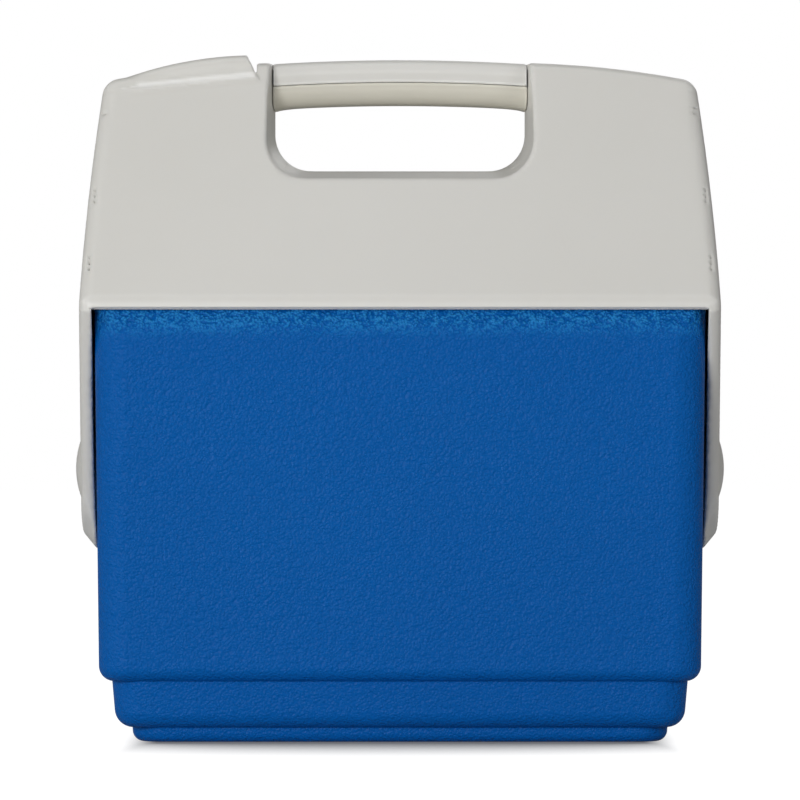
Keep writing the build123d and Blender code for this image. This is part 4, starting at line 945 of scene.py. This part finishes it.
@dataclass
class SwingLid:
    """The hood and its two side arms, with the raised housing and the hand opening."""

    # the outline seen from the end: round arm ends, straight shields and the hollow tent
    pivot_height: float = PIVOT_HEIGHT
    half_depth: float = 104.0
    edge_height: float = 198.0
    lip_height: float = 5.5
    lip_round: float = 9.0
    arm_corner_round: float = 1.5
    crest_half_depth: float = 25.0
    crest_height: float = 307.0
    tent_hollow: float = 1.2
    arm_end_radius: float = 38.4
    # the outline seen from the front: ridge, shoulders, bowed ends and leaning arms
    ridge_height: float = 316.4
    ridge_flat: float = 50.0
    shoulder: tuple[float, float] = (139.1, 307.2)
    shoulder_round: float = 8.0
    shoulder_turn: float = 0.28
    end_bow: tuple[float, float] = (144.3, 255.3)
    hood_half_width: float = 147.2
    arm_half_width: float = 150.2
    rim_round: float = 6.0
    rim_probe: float = 0.5
    # the wall and the arms, bevelled outside and lipped inside
    skin: float = 3.6
    arm_inner: float = 142.8
    arm_inner_edge: float = 0.8
    rim_reach: float = 1.7
    rim_width: float = 1.5
    rim_fade: float = 70.0
    bevel_way: tuple[float, float] = (0.772, 0.636)
    bevel_depth: float = 8.5
    bevel_height: float = 98.0
    bevel_run: float = 60.0
    bevel_fade: float = 14.0
    bevel_edge: float = 1.0
    # the raised housing, its hollow foot and the notch at its slanted end
    hump_arc: tuple[tuple[float, float], ...] = ((-135.0, 306.8), (-100.0, 316.9), (-71.8, 319.8))
    hump_foot: float = -68.0
    hump_run: float = 54.0
    hump_half_depth: float = 22.2
    hump_flare: float = 2.6
    hump_end: float = -134.5
    hump_end_round: float = 13.0
    hump_top_round: float = 5.0
    hump_floor: float = 290.0
    hump_floor_edge: float = 0.5
    hump_blend: float = 0.9
    brim_height: float = 309.3
    brim_fall: float = 5.6
    brim_reach: float = 1.5
    brim_end: float = -138.6
    brim_end_round: float = 15.0
    brim_lean: float = 0.99
    brim_edge: float = 0.6
    foot_hollow: float = 4.5
    tent_run: float = 0.763
    slant_way: tuple[float, float] = (0.911, 0.412)
    slant_edge: float = 0.6
    notch_floor: float = 311.4
    notch_lean: float = 0.452
    notch_edge: float = 0.5
    # the hand opening
    mouth_half_width: float = 59.0
    mouth_flare: float = 3.0
    mouth_flare_depth: float = 28.0
    mouth_lean: float = 0.3
    mouth_depth: float = 60.0
    mouth_floor: float = 265.8
    mouth_floor_fall: float = 5.4
    mouth_corner: float = 17.0
    opening_round: float = 1.3
    # the seats of the liner, the button, the pivot pins and the bar's tongues
    liner_radius: float = 127.2
    liner_half_width: float = 141.3
    liner_edge: float = 0.4
    post_face: float = -67.4
    slot_left: float = -126.5
    slot_half_depth: float = 13.5
    slot_floor: float = 297.3
    slot_edge: float = 0.7
    boss_radius: float = 20.0
    boss_blend: float = 0.6
    head_seat: float = 147.36
    head_pocket: float = 18.3
    head_pocket_edge: float = 0.8
    bore_radius: float = 7.05
    bore_start: float = 120.0
    bore_edge: float = 0.3
    tongue_height: float = TONGUE_HEIGHT
    tongue_half_height: float = 3.8
    tongue_half_depth: float = 8.3
    tongue_middle: float = 61.6
    tongue_half_run: float = 4.6
    tongue_edge: float = 0.2
    # a painted highlight along the housing's hollow foot, and how much crest wear stays elsewhere
    foot_highlight_height: float = 1.4
    foot_highlight_half_height: float = 1.8
    foot_highlight_depth: float = 0.5
    wear_elsewhere: float = 0.3
    # the mesh's grid
    across: Spans = ((-153.0, -139.0, 1.4), (-139.0, -77.0, 2.6), (-77.0, -57.0, 1.0),
                     (-57.0, 57.0, 3.8), (57.0, 66.0, 1.3), (66.0, 139.0, 3.0),
                     (139.0, 153.0, 1.4))
    deep: Spans = ((-105.6, -98.6, 0.75), (-98.6, -30.0, 2.3), (-30.0, 30.0, 1.4),
                   (30.0, 98.6, 2.3), (98.6, 105.6, 0.75))
    up: Spans = ((84.0, 196.0, 1.9), (196.0, 206.0, 0.7), (206.0, 212.0, 1.5),
                 (212.0, 258.0, 2.8), (258.0, 292.0, 2.1), (292.0, 322.0, 1.15))

    def side_view(self, y: np.ndarray, z: np.ndarray) -> np.ndarray:
        """Distance to the lid's outline seen from its end.

        Args:
            y: depth.
            z: height.

        Returns:
            The distance, negative inside.
        """
        y = np.abs(y)
        rise = z - self.pivot_height
        foot_y, foot_z = self.half_depth, self.edge_height - self.pivot_height
        reach = math.hypot(foot_y, foot_z)
        turn = math.atan2(foot_z, foot_y) - math.acos(self.arm_end_radius / reach)
        out_y, out_z = math.cos(turn), math.sin(turn)
        along = -out_z * y + out_y * rise
        shield = np.where(along > 0, out_y * y + out_z * rise - self.arm_end_radius,
                          np.hypot(y, rise) - self.arm_end_radius)
        arm = meet(shield, y - self.half_depth, soften(self.arm_corner_round, out_y))
        low = (self.half_depth, self.edge_height + self.lip_height)
        high = (self.crest_half_depth, self.crest_height)
        slope = np.array([high[0] - low[0], high[1] - low[1]])
        inwards = np.array([-slope[1], slope[0]]) / np.linalg.norm(slope)
        middle = 0.5 * (np.array(low) + np.array(high)) + inwards * self.tent_hollow
        hollow_y, hollow_z, hollow_radius = circle_through(low, tuple(middle), high)
        tent = hollow_radius - np.hypot(y - hollow_y, z - hollow_z)
        upright = float(slope[1] / np.linalg.norm(slope))
        return meet(arm, tent, soften(self.lip_round, upright))

    def front_view(self, x: np.ndarray, z: np.ndarray) -> np.ndarray:
        """Distance to the lid's outline seen from the front.

        Args:
            x: width.
            z: height.

        Returns:
            The distance, negative inside.
        """
        x = np.abs(x)
        run = self.shoulder[0] - self.ridge_flat
        fall = self.ridge_height - self.shoulder[1]
        radius = (run**2 + fall**2) / (2 * fall)
        brow = np.where(x < self.ridge_flat, z - self.ridge_height,
                        np.hypot(x - self.ridge_flat, z - self.ridge_height + radius) - radius)
        bow_x, bow_z, bow = circle_through(self.shoulder, self.end_bow,
                                           (self.hood_half_width, self.edge_height))
        arm_bottom = self.pivot_height - self.arm_end_radius
        lean = (self.arm_half_width - self.hood_half_width) / (self.edge_height - arm_bottom)
        end = np.where(z > self.edge_height, np.hypot(x - bow_x, z - bow_z) - bow,
                       (x - self.hood_half_width - lean * (self.edge_height - z))
                       / math.hypot(1.0, lean))
        return meet(brow, end, soften(self.shoulder_round, self.shoulder_turn))

    def block(self, x: np.ndarray, y: np.ndarray, z: np.ndarray) -> np.ndarray:
        """Distance to the hood and arms as one solid, its rims rounded as by a rolling ball.

        Args:
            x: width.
            y: depth.
            z: height.

        Returns:
            The distance, negative inside.
        """
        above, below, run = z + self.rim_probe, z - self.rim_probe, 2 * self.rim_probe
        side_rise = (self.side_view(y, above) - self.side_view(y, below)) / run
        front_rise = (self.front_view(x, above) - self.front_view(x, below)) / run
        return meet(self.side_view(y, z), self.front_view(x, z),
                    soften(self.rim_round, side_rise * front_rise))

    def arm_bevel(self, aside: np.ndarray, side: np.ndarray, z: np.ndarray) -> np.ndarray:
        """Distance to the bevel round the arms' lower ends, which fades out upwards.

        Args:
            aside: width from the middle.
            side: distance to the outline seen from the end.
            z: height.

        Returns:
            The distance, negative inside.
        """
        across, along = self.bevel_way
        fade = self.bevel_fade * np.clip((z - self.bevel_height) / self.bevel_run, 0.0, 1.0)
        return across * (aside - self.arm_half_width) + along * (side + self.bevel_depth) - fade

    def hump_top(self, x: np.ndarray, z: np.ndarray) -> np.ndarray:
        """Distance below the raised housing's top, which climbs along a flat arc."""
        mid_x, mid_z, radius = circle_through(*self.hump_arc)
        return np.hypot(x - mid_x, z - mid_z) - radius

    def slant(self, x: np.ndarray, z: np.ndarray, foot: float) -> np.ndarray:
        """Distance beyond the housing's slanted end, from its foot on the notch's floor."""
        return (x - foot) * self.slant_way[0] + (z - self.notch_floor) * self.slant_way[1]

    def leftwards(self, x: np.ndarray) -> np.ndarray:
        """Share of the way along the housing, from its slanted end to its left."""
        return np.clip((self.hump_foot - x) / self.hump_run, 0.0, 1.0)

    def foot_height(self, x: np.ndarray) -> np.ndarray:
        """Height at which the housing's hollow foot ends on the tent."""
        return self.brim_height - self.brim_fall * self.leftwards(x)

    def hump(self, x: np.ndarray, y: np.ndarray, z: np.ndarray) -> np.ndarray:
        """Distance to the raised housing, flared to the left, with a hollow foot all round.

        Args:
            x: width.
            y: depth.
            z: height.

        Returns:
            The distance, negative inside.
        """
        wide = np.abs(y)
        nose = meet(wide - self.hump_half_depth - self.hump_flare * self.leftwards(x),
                    self.hump_end - x, self.hump_end_round)
        body = meet(nose, self.hump_top(x, z), self.hump_top_round)
        foot = self.foot_height(x)
        reach = (self.crest_half_depth + self.tent_run * (self.crest_height - foot)
                 + self.brim_reach)
        brim = meet(wide - reach, self.brim_end - x, self.brim_end_round)
        brim = meet(brim, (z - foot) * self.brim_lean, self.brim_edge)
        form = meet(union(body, brim, self.foot_hollow), self.slant(x, z, self.hump_foot),
                    self.slant_edge)
        return meet(form, self.hump_floor - z, self.hump_floor_edge)

    def opening(self, y: np.ndarray, z: np.ndarray, aside: np.ndarray) -> np.ndarray:
        """Distance to the hand opening, wider at both mouths and open upwards.

        Args:
            y: depth.
            z: height.
            aside: width from the middle.

        Returns:
            The distance, negative inside.
        """
        wide = np.abs(y)
        share = wide / self.mouth_depth
        corner = self.mouth_corner + share
        mouth = (self.mouth_half_width
                 + self.mouth_flare * np.clip(wide / self.mouth_flare_depth, 0.0, 1.0)
                 + self.mouth_lean * share)
        run = aside - mouth + corner
        drop = (self.mouth_floor - self.mouth_floor_fall * share) + corner - z
        return (np.hypot(np.maximum(run, 0.0), np.maximum(drop, 0.0))
                + np.minimum(np.maximum(run, drop), 0.0) - corner)

    def distance(self, x: np.ndarray, y: np.ndarray, z: np.ndarray) -> np.ndarray:
        """Distance to the whole lid moulding.

        Args:
            x: width.
            y: depth.
            z: height.

        Returns:
            The distance, negative inside the plastic.
        """
        aside, wide, rise = np.abs(x), np.abs(y), z - self.pivot_height
        from_pin = np.hypot(y, rise)
        side = self.side_view(y, z)
        block = meet(self.block(x, y, z), self.arm_bevel(aside, side, z), self.bevel_edge)
        opening = self.opening(y, z, aside)
        outer = carve(union(block, self.hump(x, y, z), self.hump_blend), opening,
                      self.opening_round)
        notch = highest(x - self.post_face, self.notch_floor - z,
                        self.hump_foot - x - (z - self.notch_floor) * self.notch_lean)
        outer = carve(outer, notch, self.notch_edge)
        room = np.maximum(block + self.skin, self.skin - opening)
        shell = np.maximum(outer, -room)
        lip = (np.clip((side + self.skin + self.rim_width) / self.rim_width, 0.0, 1.0)
               * np.clip(rise / self.rim_fade, 0.0, 1.0))
        between = highest(aside - self.arm_inner + self.rim_reach * lip, z - self.edge_height)
        liner = highest(from_pin - self.liner_radius, aside - self.liner_half_width)
        slot = highest(wide - self.slot_half_depth, self.slot_left - x,
                       x - self.post_face, self.slot_floor - z)
        boss = highest(from_pin - self.boss_radius, aside - self.head_seat,
                       self.arm_inner - aside)
        pocket = highest(from_pin - self.head_pocket, self.head_seat - aside)
        bore = highest(from_pin - self.bore_radius, self.bore_start - aside)
        tongue = highest(wide - self.tongue_half_depth,
                         np.abs(z - self.tongue_height) - self.tongue_half_height,
                         np.abs(aside - self.tongue_middle) - self.tongue_half_run)
        for cut, edge in ((between, self.arm_inner_edge), (liner, self.liner_edge),
                          (slot, self.slot_edge)):
            shell = carve(shell, cut, edge)
        shell = union(shell, boss, self.boss_blend)
        for cut, edge in ((pocket, self.head_pocket_edge), (bore, self.bore_edge),
                          (tongue, self.tongue_edge)):
            shell = carve(shell, cut, edge)
        return shell

    def _paint_foot_highlight(self, mesh: bpy.types.Mesh) -> None:
        """Paints a highlight along the housing's hollow foot into the crest attribute.

        Args:
            mesh: the moulding's mesh, in metres.
        """
        x, y, z = np.array([v.co for v in mesh.vertices]).T / MM
        above = np.abs(z - self.foot_height(x) - self.foot_highlight_height)
        foot = np.clip(self.foot_highlight_half_height - above, 0.0, 1.0)
        foot *= (self.hump(x, y, z) < self.foot_highlight_depth) & (x < self.hump_foot)
        crest = mesh.attributes["crest"]
        values = np.zeros(len(mesh.vertices), dtype=np.float32)
        crest.data.foreach_get("value", values)
        # the painted foot highlight goes over a weaker share of the edge wear
        worn = np.maximum(self.wear_elsewhere * values, foot)
        crest.data.foreach_set("value", worn.astype(np.float32))

    def build(self, finishes: FinishBook) -> bpy.types.Object:
        """Meshes and dresses the moulding.

        Args:
            finishes: the carrier's finishes.

        Returns:
            The piece.
        """
        made = MouldedForm("lid_moulding", self.distance, self.across, self.deep, self.up).build()
        self._paint_foot_highlight(made.data)
        finishes.put_on(made, "off_white_satin_plastic")
        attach(made, "lid")
        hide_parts("lid_shell")
        return made


@dataclass
class CarryBar:
    """The handle across the hand opening: a rounded grip below and a crowned cap above."""

    half_length: float = 58.8
    end_flare: float = 0.105
    end_drop: float = 1.2
    end_run: float = 4.0
    half_depth: float = 13.0
    grip_bottom: float = 295.1
    seam: float = 305.4
    seam_gap: float = 0.2
    seam_edge: float = 0.7
    top: float = 316.4
    crown: float = 0.5
    camber: float = 1.8
    grip_round: float = 8.0
    grip_end_edge: float = 0.5
    cap_round: float = 6.0
    cap_end_edge: float = 0.4
    tongue_height: float = TONGUE_HEIGHT
    tongue_half_depth: float = 8.0
    tongue_half_height: float = 3.5
    tongue_reach: float = 65.1
    tongue_edge: float = 0.6
    tongue_blend: float = 0.2
    deep: Spans = ((-14.2, 14.2, 0.8),)
    grip_across: Spans = ((-66.0, -50.0, 0.8), (-50.0, 50.0, 2.0), (50.0, 66.0, 0.8))
    grip_up: Spans = ((290.5, 308.5, 0.7),)
    cap_across: Spans = ((-60.0, -52.0, 0.7), (-52.0, 52.0, 2.0), (52.0, 60.0, 0.7))
    cap_up: Spans = ((304.5, 320.2, 0.7),)

    def lift(self, x: np.ndarray) -> np.ndarray:
        """How far the bar rises above its ends."""
        return self.camber * (1.0 - (x / self.half_length)**2)

    def aside(self, x: np.ndarray, y: np.ndarray) -> np.ndarray:
        """Width from the middle, less what the ends' hollow curve adds towards both edges."""
        return np.abs(x) - self.end_flare * np.abs(y)

    def grip(self, x: np.ndarray, y: np.ndarray, z: np.ndarray) -> np.ndarray:
        """Distance to the lower strip, with the tongues that hold it in the lid.

        Args:
            x: width.
            y: depth.
            z: height.

        Returns:
            The distance, negative inside.
        """
        level, wide, aside = z - self.lift(x), np.abs(y), self.aside(x, y)
        from_end = np.maximum(self.half_length - aside, 0.0)
        drop = self.end_drop * np.exp(-from_end / self.end_run)
        form = meet(wide - self.half_depth, self.grip_bottom - drop - level, self.grip_round)
        form = meet(form, level - self.seam, self.seam_edge)
        form = meet(form, aside - self.half_length, self.grip_end_edge)
        tongue = meet(wide - self.tongue_half_depth, aside - self.tongue_reach, self.tongue_edge)
        tongue = meet(tongue, np.abs(z - self.tongue_height) - self.tongue_half_height,
                      self.tongue_edge)
        return union(form, tongue, self.tongue_blend)

    def cap(self, x: np.ndarray, y: np.ndarray, z: np.ndarray) -> np.ndarray:
        """Distance to the upper strip.

        Args:
            x: width.
            y: depth.
            z: height.

        Returns:
            The distance, negative inside.
        """
        level = z - self.lift(x)
        crown = level - self.top + self.crown * (y / self.half_depth)**2
        form = meet(np.abs(y) - self.half_depth, crown, self.cap_round)
        form = meet(form, self.seam + self.seam_gap - level, self.seam_edge)
        return meet(form, self.aside(x, y) - self.half_length, self.cap_end_edge)

    def build(self, finishes: FinishBook) -> list[bpy.types.Object]:
        """Meshes and dresses both strips.

        Args:
            finishes: the carrier's finishes.

        Returns:
            The two pieces.
        """
        grip = MouldedForm("grip_strip", self.grip, self.grip_across, self.deep, self.grip_up)
        cap = MouldedForm("cap_strip", self.cap, self.cap_across, self.deep, self.cap_up)
        made = []
        for form, finish, node, name in (
                (grip, "cream_grip_plastic", "handle_grip", "handle_grip"),
                (cap, "off_white_satin_plastic", "handle_cap", "lid_shell")):
            piece = form.build()
            finishes.put_on(piece, finish)
            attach(piece, "lid")
            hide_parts(node)
            made.append(piece)
        return made


@dataclass
class ThumbRelease:
    """The button set flush in the raised housing."""

    lid: SwingLid = field(default_factory=SwingLid)
    left: float = -126.0
    slant_foot: float = -69.6
    half_depth: float = 13.0
    corner_edge: float = 1.5
    slant_edge: float = 1.0
    top_edge: float = 1.0
    skirt: float = 303.5
    skirt_edge: float = 0.4
    wall: float = 2.4
    barrel: float = 4.2
    barrel_blend: float = 0.6
    hinge: tuple[float, float] = (-122.0, 303.5)
    pin_bore: float = 2.05
    bore_edge: float = 0.2
    push_x: float = -96.0
    push_foot: float = 264.3
    push_half_width: float = 2.0
    push_half_depth: float = 4.0
    push_below_top: float = 1.0
    push_edge: float = 0.4
    push_blend: float = 0.8
    across: Spans = ((-128.0, -68.0, 0.8),)
    deep: Spans = ((-14.0, 14.0, 0.8),)
    up: Spans = ((263.0, 296.0, 1.6), (296.0, 321.0, 0.7))

    def distance(self, x: np.ndarray, y: np.ndarray, z: np.ndarray) -> np.ndarray:
        """Distance to the button with its hinge barrel and push post.

        Args:
            x: width.
            y: depth.
            z: height.

        Returns:
            The distance, negative inside.
        """
        top, slant = self.lid.hump_top(x, z), self.lid.slant(x, z, self.slant_foot)
        wide = np.abs(y)
        side = wide - self.half_depth
        plan = meet(meet(side, self.left - x, self.corner_edge), slant, self.slant_edge)
        cap = meet(meet(plan, top, self.top_edge), self.skirt - z, self.skirt_edge)
        hollow = highest(side, top, self.left - x, slant) + self.wall
        shell = np.maximum(cap, -hollow)
        from_hinge = np.hypot(x - self.hinge[0], z - self.hinge[1])
        shell = union(shell, np.maximum(from_hinge - self.barrel, side), self.barrel_blend)
        post = meet(meet(np.abs(x - self.push_x) - self.push_half_width,
                         wide - self.push_half_depth, self.push_edge),
                    np.maximum(self.push_foot - z, top + self.push_below_top), self.push_edge)
        shell = union(shell, post, self.push_blend)
        return carve(shell, from_hinge - self.pin_bore, self.bore_edge)

    def build(self, finishes: FinishBook) -> bpy.types.Object:
        """Meshes and dresses the button.

        Args:
            finishes: the carrier's finishes.

        Returns:
            The piece.
        """
        made = MouldedForm("thumb_button", self.distance, self.across, self.deep, self.up).build()
        finishes.put_on(made, "off_white_satin_plastic")
        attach(made, "button")
        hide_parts("release_button")
        return made


@dataclass(frozen=True)
class ScrewStock:
    """One kind of pan-head screw."""

    head_radius: float
    head_height: float
    shank_radius: float
    drive_radius: float
    shank_length: float
    threads: int

    def values(self) -> dict[str, float]:
        """The screw tree's inputs for this kind."""
        return {"Head Radius": self.head_radius * MM, "Head Height": self.head_height * MM,
                "Shank Radius": self.shank_radius * MM, "Drive Radius": self.drive_radius * MM,
                "Shank Length": self.shank_length * MM, "Threads": self.threads}


@dataclass
class Fasteners:
    """The screws of the liner, the handle and the latch keeper, and the latch's spring."""

    pivot_height: float = PIVOT_HEIGHT
    liner_seat: float = 127.4
    liner_places: tuple[tuple[float, float], ...] = (
        (-100.0, -14.0), (-100.0, 14.0), (100.0, -14.0), (100.0, 14.0), (-35.0, 0.0), (35.0, 0.0))
    liner_screw: ScrewStock = ScrewStock(3.3, 2.0, 1.4, 1.2, 9.8, 8)
    bar_seat: float = 298.2
    bar_half_spacing: float = 42.0
    bar_screw: ScrewStock = ScrewStock(3.3, 2.0, 1.4, 1.2, 14.8, 12)
    keeper_seat: float = 246.25
    keeper_x: float = -133.5
    keeper_y: float = 7.6
    keeper_screw: ScrewStock = ScrewStock(1.8, 1.2, 0.8, 0.9, 11.8, 12)
    spring_x: float = -124.0
    spring_low: float = 264.7
    spring_high: float = 279.3
    spring_shelf: float = 280.0
    spring_radius: float = 2.8
    spring_wire: float = 0.5
    spring_turns: float = 5.0

    @staticmethod
    def _set(name: str, tree: GeometryTree, seats: list[tuple[Vector, Vector]],
             stock: ScrewStock, material: bpy.types.Material) -> bpy.types.Object:
        """One group of like screws as a plain mesh.

        Args:
            name: the piece's name.
            tree: the screw tree.
            seats: where each head seats, in millimetres, and the way that it faces.
            stock: the kind of screw.
            material: the finish.

        Returns:
            The piece.
        """
        mesh = bpy.data.meshes.new(name + "_points")
        mesh.from_pydata([tuple(place * MM) for place, _ in seats], [], [])
        facing = mesh.attributes.new("facing", "FLOAT_VECTOR", "POINT")
        for item, (_, way) in zip(facing.data, seats):
            item.vector = way
        return tree.bake(name, mesh, {**stock.values(), "Material": material})

    def _liner_seats(self) -> list[tuple[Vector, Vector]]:
        """Where the lid liner's screws seat on its round wall.

        Returns:
            Each place, and the way that its head faces.
        """
        seats = []
        for x, angle in self.liner_places:
            way = Vector((0.0, math.sin(math.radians(angle)), math.cos(math.radians(angle))))
            seats.append((Vector((x, 0.0, self.pivot_height)) + way * self.liner_seat, -way))
        return seats

    def build(self, finishes: FinishBook) -> list[bpy.types.Object]:
        """Makes every screw and the spring.

        Args:
            finishes: the carrier's finishes.

        Returns:
            The pieces.
        """
        steel = finishes.made["plated_screw_steel"]
        tree = screw_tree()
        up = Vector((0.0, 0.0, 1.0))
        bar_seats = [(Vector((s * self.bar_half_spacing, 0.0, self.bar_seat)), -up)
                     for s in (-1, 1)]
        keeper_seats = [(Vector((self.keeper_x, s * self.keeper_y, self.keeper_seat)), up)
                        for s in (-1, 1)]
        liner = self._set("liner_screw_set", tree, self._liner_seats(), self.liner_screw, steel)
        bar = self._set("bar_screw_set", tree, bar_seats, self.bar_screw, steel)
        keeper = self._set("keeper_screw_set", tree, keeper_seats, self.keeper_screw, steel)
        coil = spring_tree().bake("latch_coil", bpy.data.meshes.new("coil_seed"), {
            "Place": (self.spring_x * MM, 0.0, self.spring_low * MM),
            "Coil Radius": self.spring_radius * MM, "Wire Radius": self.spring_wire * MM,
            "Height": (self.spring_high - self.spring_low) * MM, "Turns": self.spring_turns,
            "Material": finishes.made["bright_pin_steel"]})
        for piece, body, node, name in (
                (liner, "lid", "liner_screws", "screw_steel"),
                (bar, "lid", "handle_screws", "screw_steel"),
                (keeper, "tub", "keeper_screws", "screw_steel"),
                (coil, "lid", "latch_spring", "pin_steel")):
            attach(piece, body)
            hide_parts(node)
        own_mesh(coil)
        return [liner, bar, keeper, coil]


@dataclass
class PackedParts:
    """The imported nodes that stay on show, each with its finish and soft shading."""

    sharpness: int = 80
    nodes_by_finish: dict[str, tuple[str, ...]] = field(default_factory=lambda: {
        "blue_pebbled_plastic": ("outer_shell",),
        "white_liner_plastic": ("inner_liner", "lid_liner"),
        "buff_rigid_foam": ("body_foam", "lid_foam"),
        "off_white_satin_plastic": ("pivot_pin_left", "pivot_pin_right"),
        "charcoal_trim_plastic": ("foam_fill_plug", "latch_keeper", "latch_lever",
                                  "pivot_socket_left", "pivot_socket_right",
                                  "pivot_washer_left", "pivot_washer_right"),
        "bright_pin_steel": ("button_pin", "lever_pin")})

    def dress(self, nodes: dict[str, bpy.types.Object], finishes: FinishBook) -> None:
        """Gives each node its finish and shades its curves smooth.

        Args:
            nodes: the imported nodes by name.
            finishes: the carrier's finishes.
        """
        tree = soft_shading_tree()
        for finish, names in self.nodes_by_finish.items():
            for name in names:
                finishes.put_on(nodes[name], finish)
                shade = nodes[name].modifiers.new("soft_shading", "NODES")
                shade.node_group = tree
                weigh = nodes[name].modifiers.new("even_normals", "WEIGHTED_NORMAL")
                weigh.keep_sharp = True
                weigh.weight = self.sharpness


# ---------------------------------------------------------------- studio

class Lamp(Enum):
    """The studio's soft boxes: place, aim, size and power."""

    KEY = ((-1.0, -2.6, 0.6), (0.0, 0.0, 0.18), 1.1, 39.0)
    SIDE = ((-2.1, -0.6, 0.6), (0.0, 0.0, 0.2), 1.0, 9.0)
    FILL = ((1.9, -1.7, 0.7), (0.0, 0.0, 0.16), 1.2, 12.0)
    TOP = ((-0.2, -0.3, 2.2), (0.0, 0.0, 0.2), 1.3, 7.0)
    BACK = ((0.7, 2.1, 1.4), (0.0, 0.0, 0.2), 1.5, 8.0)

    def hang(self) -> None:
        """Adds the lamp to the scene."""
        place, aim, size, power = self.value
        data = bpy.data.lights.new(self.name.lower(), "AREA")
        data.shape, data.size, data.energy = "DISK", size, power
        light = bpy.data.objects.new(self.name.lower(), data)
        light.location = place
        light.rotation_euler = (Vector(aim) - Vector(place)).to_track_quat("-Z", "Y").to_euler()
        bpy.context.scene.collection.objects.link(light)


@dataclass
class Studio:
    """A plain pale floor, soft light and the camera.

    The camera sees the backdrop and the floor as white, and a soft shadow under the tub is painted
    into the floor's glow, darkened by ambient occlusion and kept off the floor beside the tub's ends.
    Every other ray meets a grey floor and a dim room.
    """

    camera_distance: float = 3.0
    camera_height: float = 0.1575
    lens: float = 285.0
    sensor: float = 36.0
    clip: tuple[float, float] = (0.05, 60.0)
    room_light: float = 0.14
    floor_half: float = 8.0
    floor_greys: tuple[Colour, Colour] = ((0.6, 0.6, 0.6, 1.0), (0.57, 0.57, 0.57, 1.0))
    floor_roughness: float = 0.9
    paper_scale: float = 3.0
    seen_grey: Colour = (0.2, 0.2, 0.2, 1.0)
    shadow_reach: float = 0.15
    shadow_openness: tuple[float, float] = (0.48, 0.92)
    shadow_darkest: float = 0.1
    shadow_ends: tuple[float, float] = (0.108, 0.13)

    def build(self) -> None:
        """Sets the camera, lights, world and floor."""
        scene = bpy.context.scene
        data = bpy.data.cameras.new("camera")
        data.lens, data.sensor_width = self.lens, self.sensor
        data.clip_start, data.clip_end = self.clip
        camera = bpy.data.objects.new("camera", data)
        camera.location = (0.0, -self.camera_distance, self.camera_height)
        camera.rotation_euler = (math.pi / 2, 0.0, 0.0)
        scene.collection.objects.link(camera)
        scene.camera = camera
        scene.view_settings.view_transform = "Standard"
        for lamp in Lamp:
            lamp.hang()
        self._world(scene)
        self._floor(scene)

    @staticmethod
    def _for_camera(nodes: Nodes, end: str, others: bpy.types.NodeSocket,
                    camera: bpy.types.NodeSocket) -> None:
        """Ends a tree with one shader for the camera's rays and one for all others.

        Args:
            nodes: the tree's node helper.
            end: the output node's name.
            others: the shader that all other rays meet.
            camera: the shader that the camera sees.
        """
        rays = nodes.add("ShaderNodeLightPath")
        both = nodes.add("ShaderNodeMixShader", {0: rays.outputs["Is Camera Ray"], 1: others,
                                                 2: camera})
        nodes.wire(nodes.tree.nodes[end], {0: both.outputs[0]})

    def _world(self, scene: bpy.types.Scene) -> None:
        """Lights the room evenly and shows white behind the carrier.

        Args:
            scene: the scene.
        """
        world = bpy.data.worlds.new("studio")
        world.use_nodes = True
        scene.world = world
        nodes = Nodes(world.node_tree)
        backdrop = world.node_tree.nodes["Background"]
        nodes.wire(backdrop, {0: WHITE, 1: 1.0})
        room = nodes.add("ShaderNodeBackground", {0: WHITE, 1: self.room_light})
        self._for_camera(nodes, "World Output", room.outputs[0], backdrop.outputs[0])

    def _floor(self, scene: bpy.types.Scene) -> None:
        """Lays the floor.

        Args:
            scene: the scene.
        """
        mesh = bpy.data.meshes.new("floor")
        h = self.floor_half
        mesh.from_pydata([(-h, -h, 0), (h, -h, 0), (h, h, 0), (-h, h, 0)], [], [(0, 1, 2, 3)])
        floor = bpy.data.objects.new("floor", mesh)
        scene.collection.objects.link(floor)
        coat = Coat("pale_floor")
        nodes = coat.nodes
        paper = nodes.noise(coat.where, self.paper_scale, 3.0).outputs[0]
        mesh.materials.append(coat.close({"Base Color": nodes.mix_colour(paper, *self.floor_greys),
                                          "Roughness": self.floor_roughness}))
        # painted shadow: the floor's glow for the camera is dimmed by ambient occlusion near the tub,
        # but not beyond the tub's ends
        near = nodes.add("ShaderNodeAmbientOcclusion", {"Distance": self.shadow_reach})
        level = nodes.add("ShaderNodeMapRange", {
            "Value": near.outputs["AO"], "From Min": self.shadow_openness[0],
            "From Max": self.shadow_openness[1], "To Min": self.shadow_darkest, "To Max": 1.0})
        across = nodes.add("ShaderNodeSeparateXYZ", {0: coat.where}).outputs[0]
        aside = nodes.ramp(nodes.math("ABSOLUTE", across), *self.shadow_ends)
        glow = nodes.add("ShaderNodeEmission", {
            0: WHITE, 1: nodes.math("MAXIMUM", level.outputs["Result"], aside)})
        pale = nodes.add("ShaderNodeBsdfDiffuse", {"Color": self.seen_grey})
        seen = nodes.add("ShaderNodeAddShader", {0: pale.outputs[0], 1: glow.outputs[0]})
        self._for_camera(nodes, "Material Output", coat.shader.outputs[0], seen.outputs[0])


def main() -> None:
    """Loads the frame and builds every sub-assembly in order."""
    logging.basicConfig(level=logging.INFO, format="%(message)s")
    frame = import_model()
    finishes = FinishBook()
    finishes.fill()
    LOG.info("finishes: %d", len(finishes.made))
    PackedParts().dress(frame["nodes"], finishes)
    pieces = [SwingLid().build(finishes), *CarryBar().build(finishes),
              ThumbRelease().build(finishes), *Fasteners().build(finishes)]
    for piece in pieces:
        LOG.info("%s: %d faces", piece.name, len(piece.data.polygons))
    Studio().build()


if __name__ == "__main__":
    main()
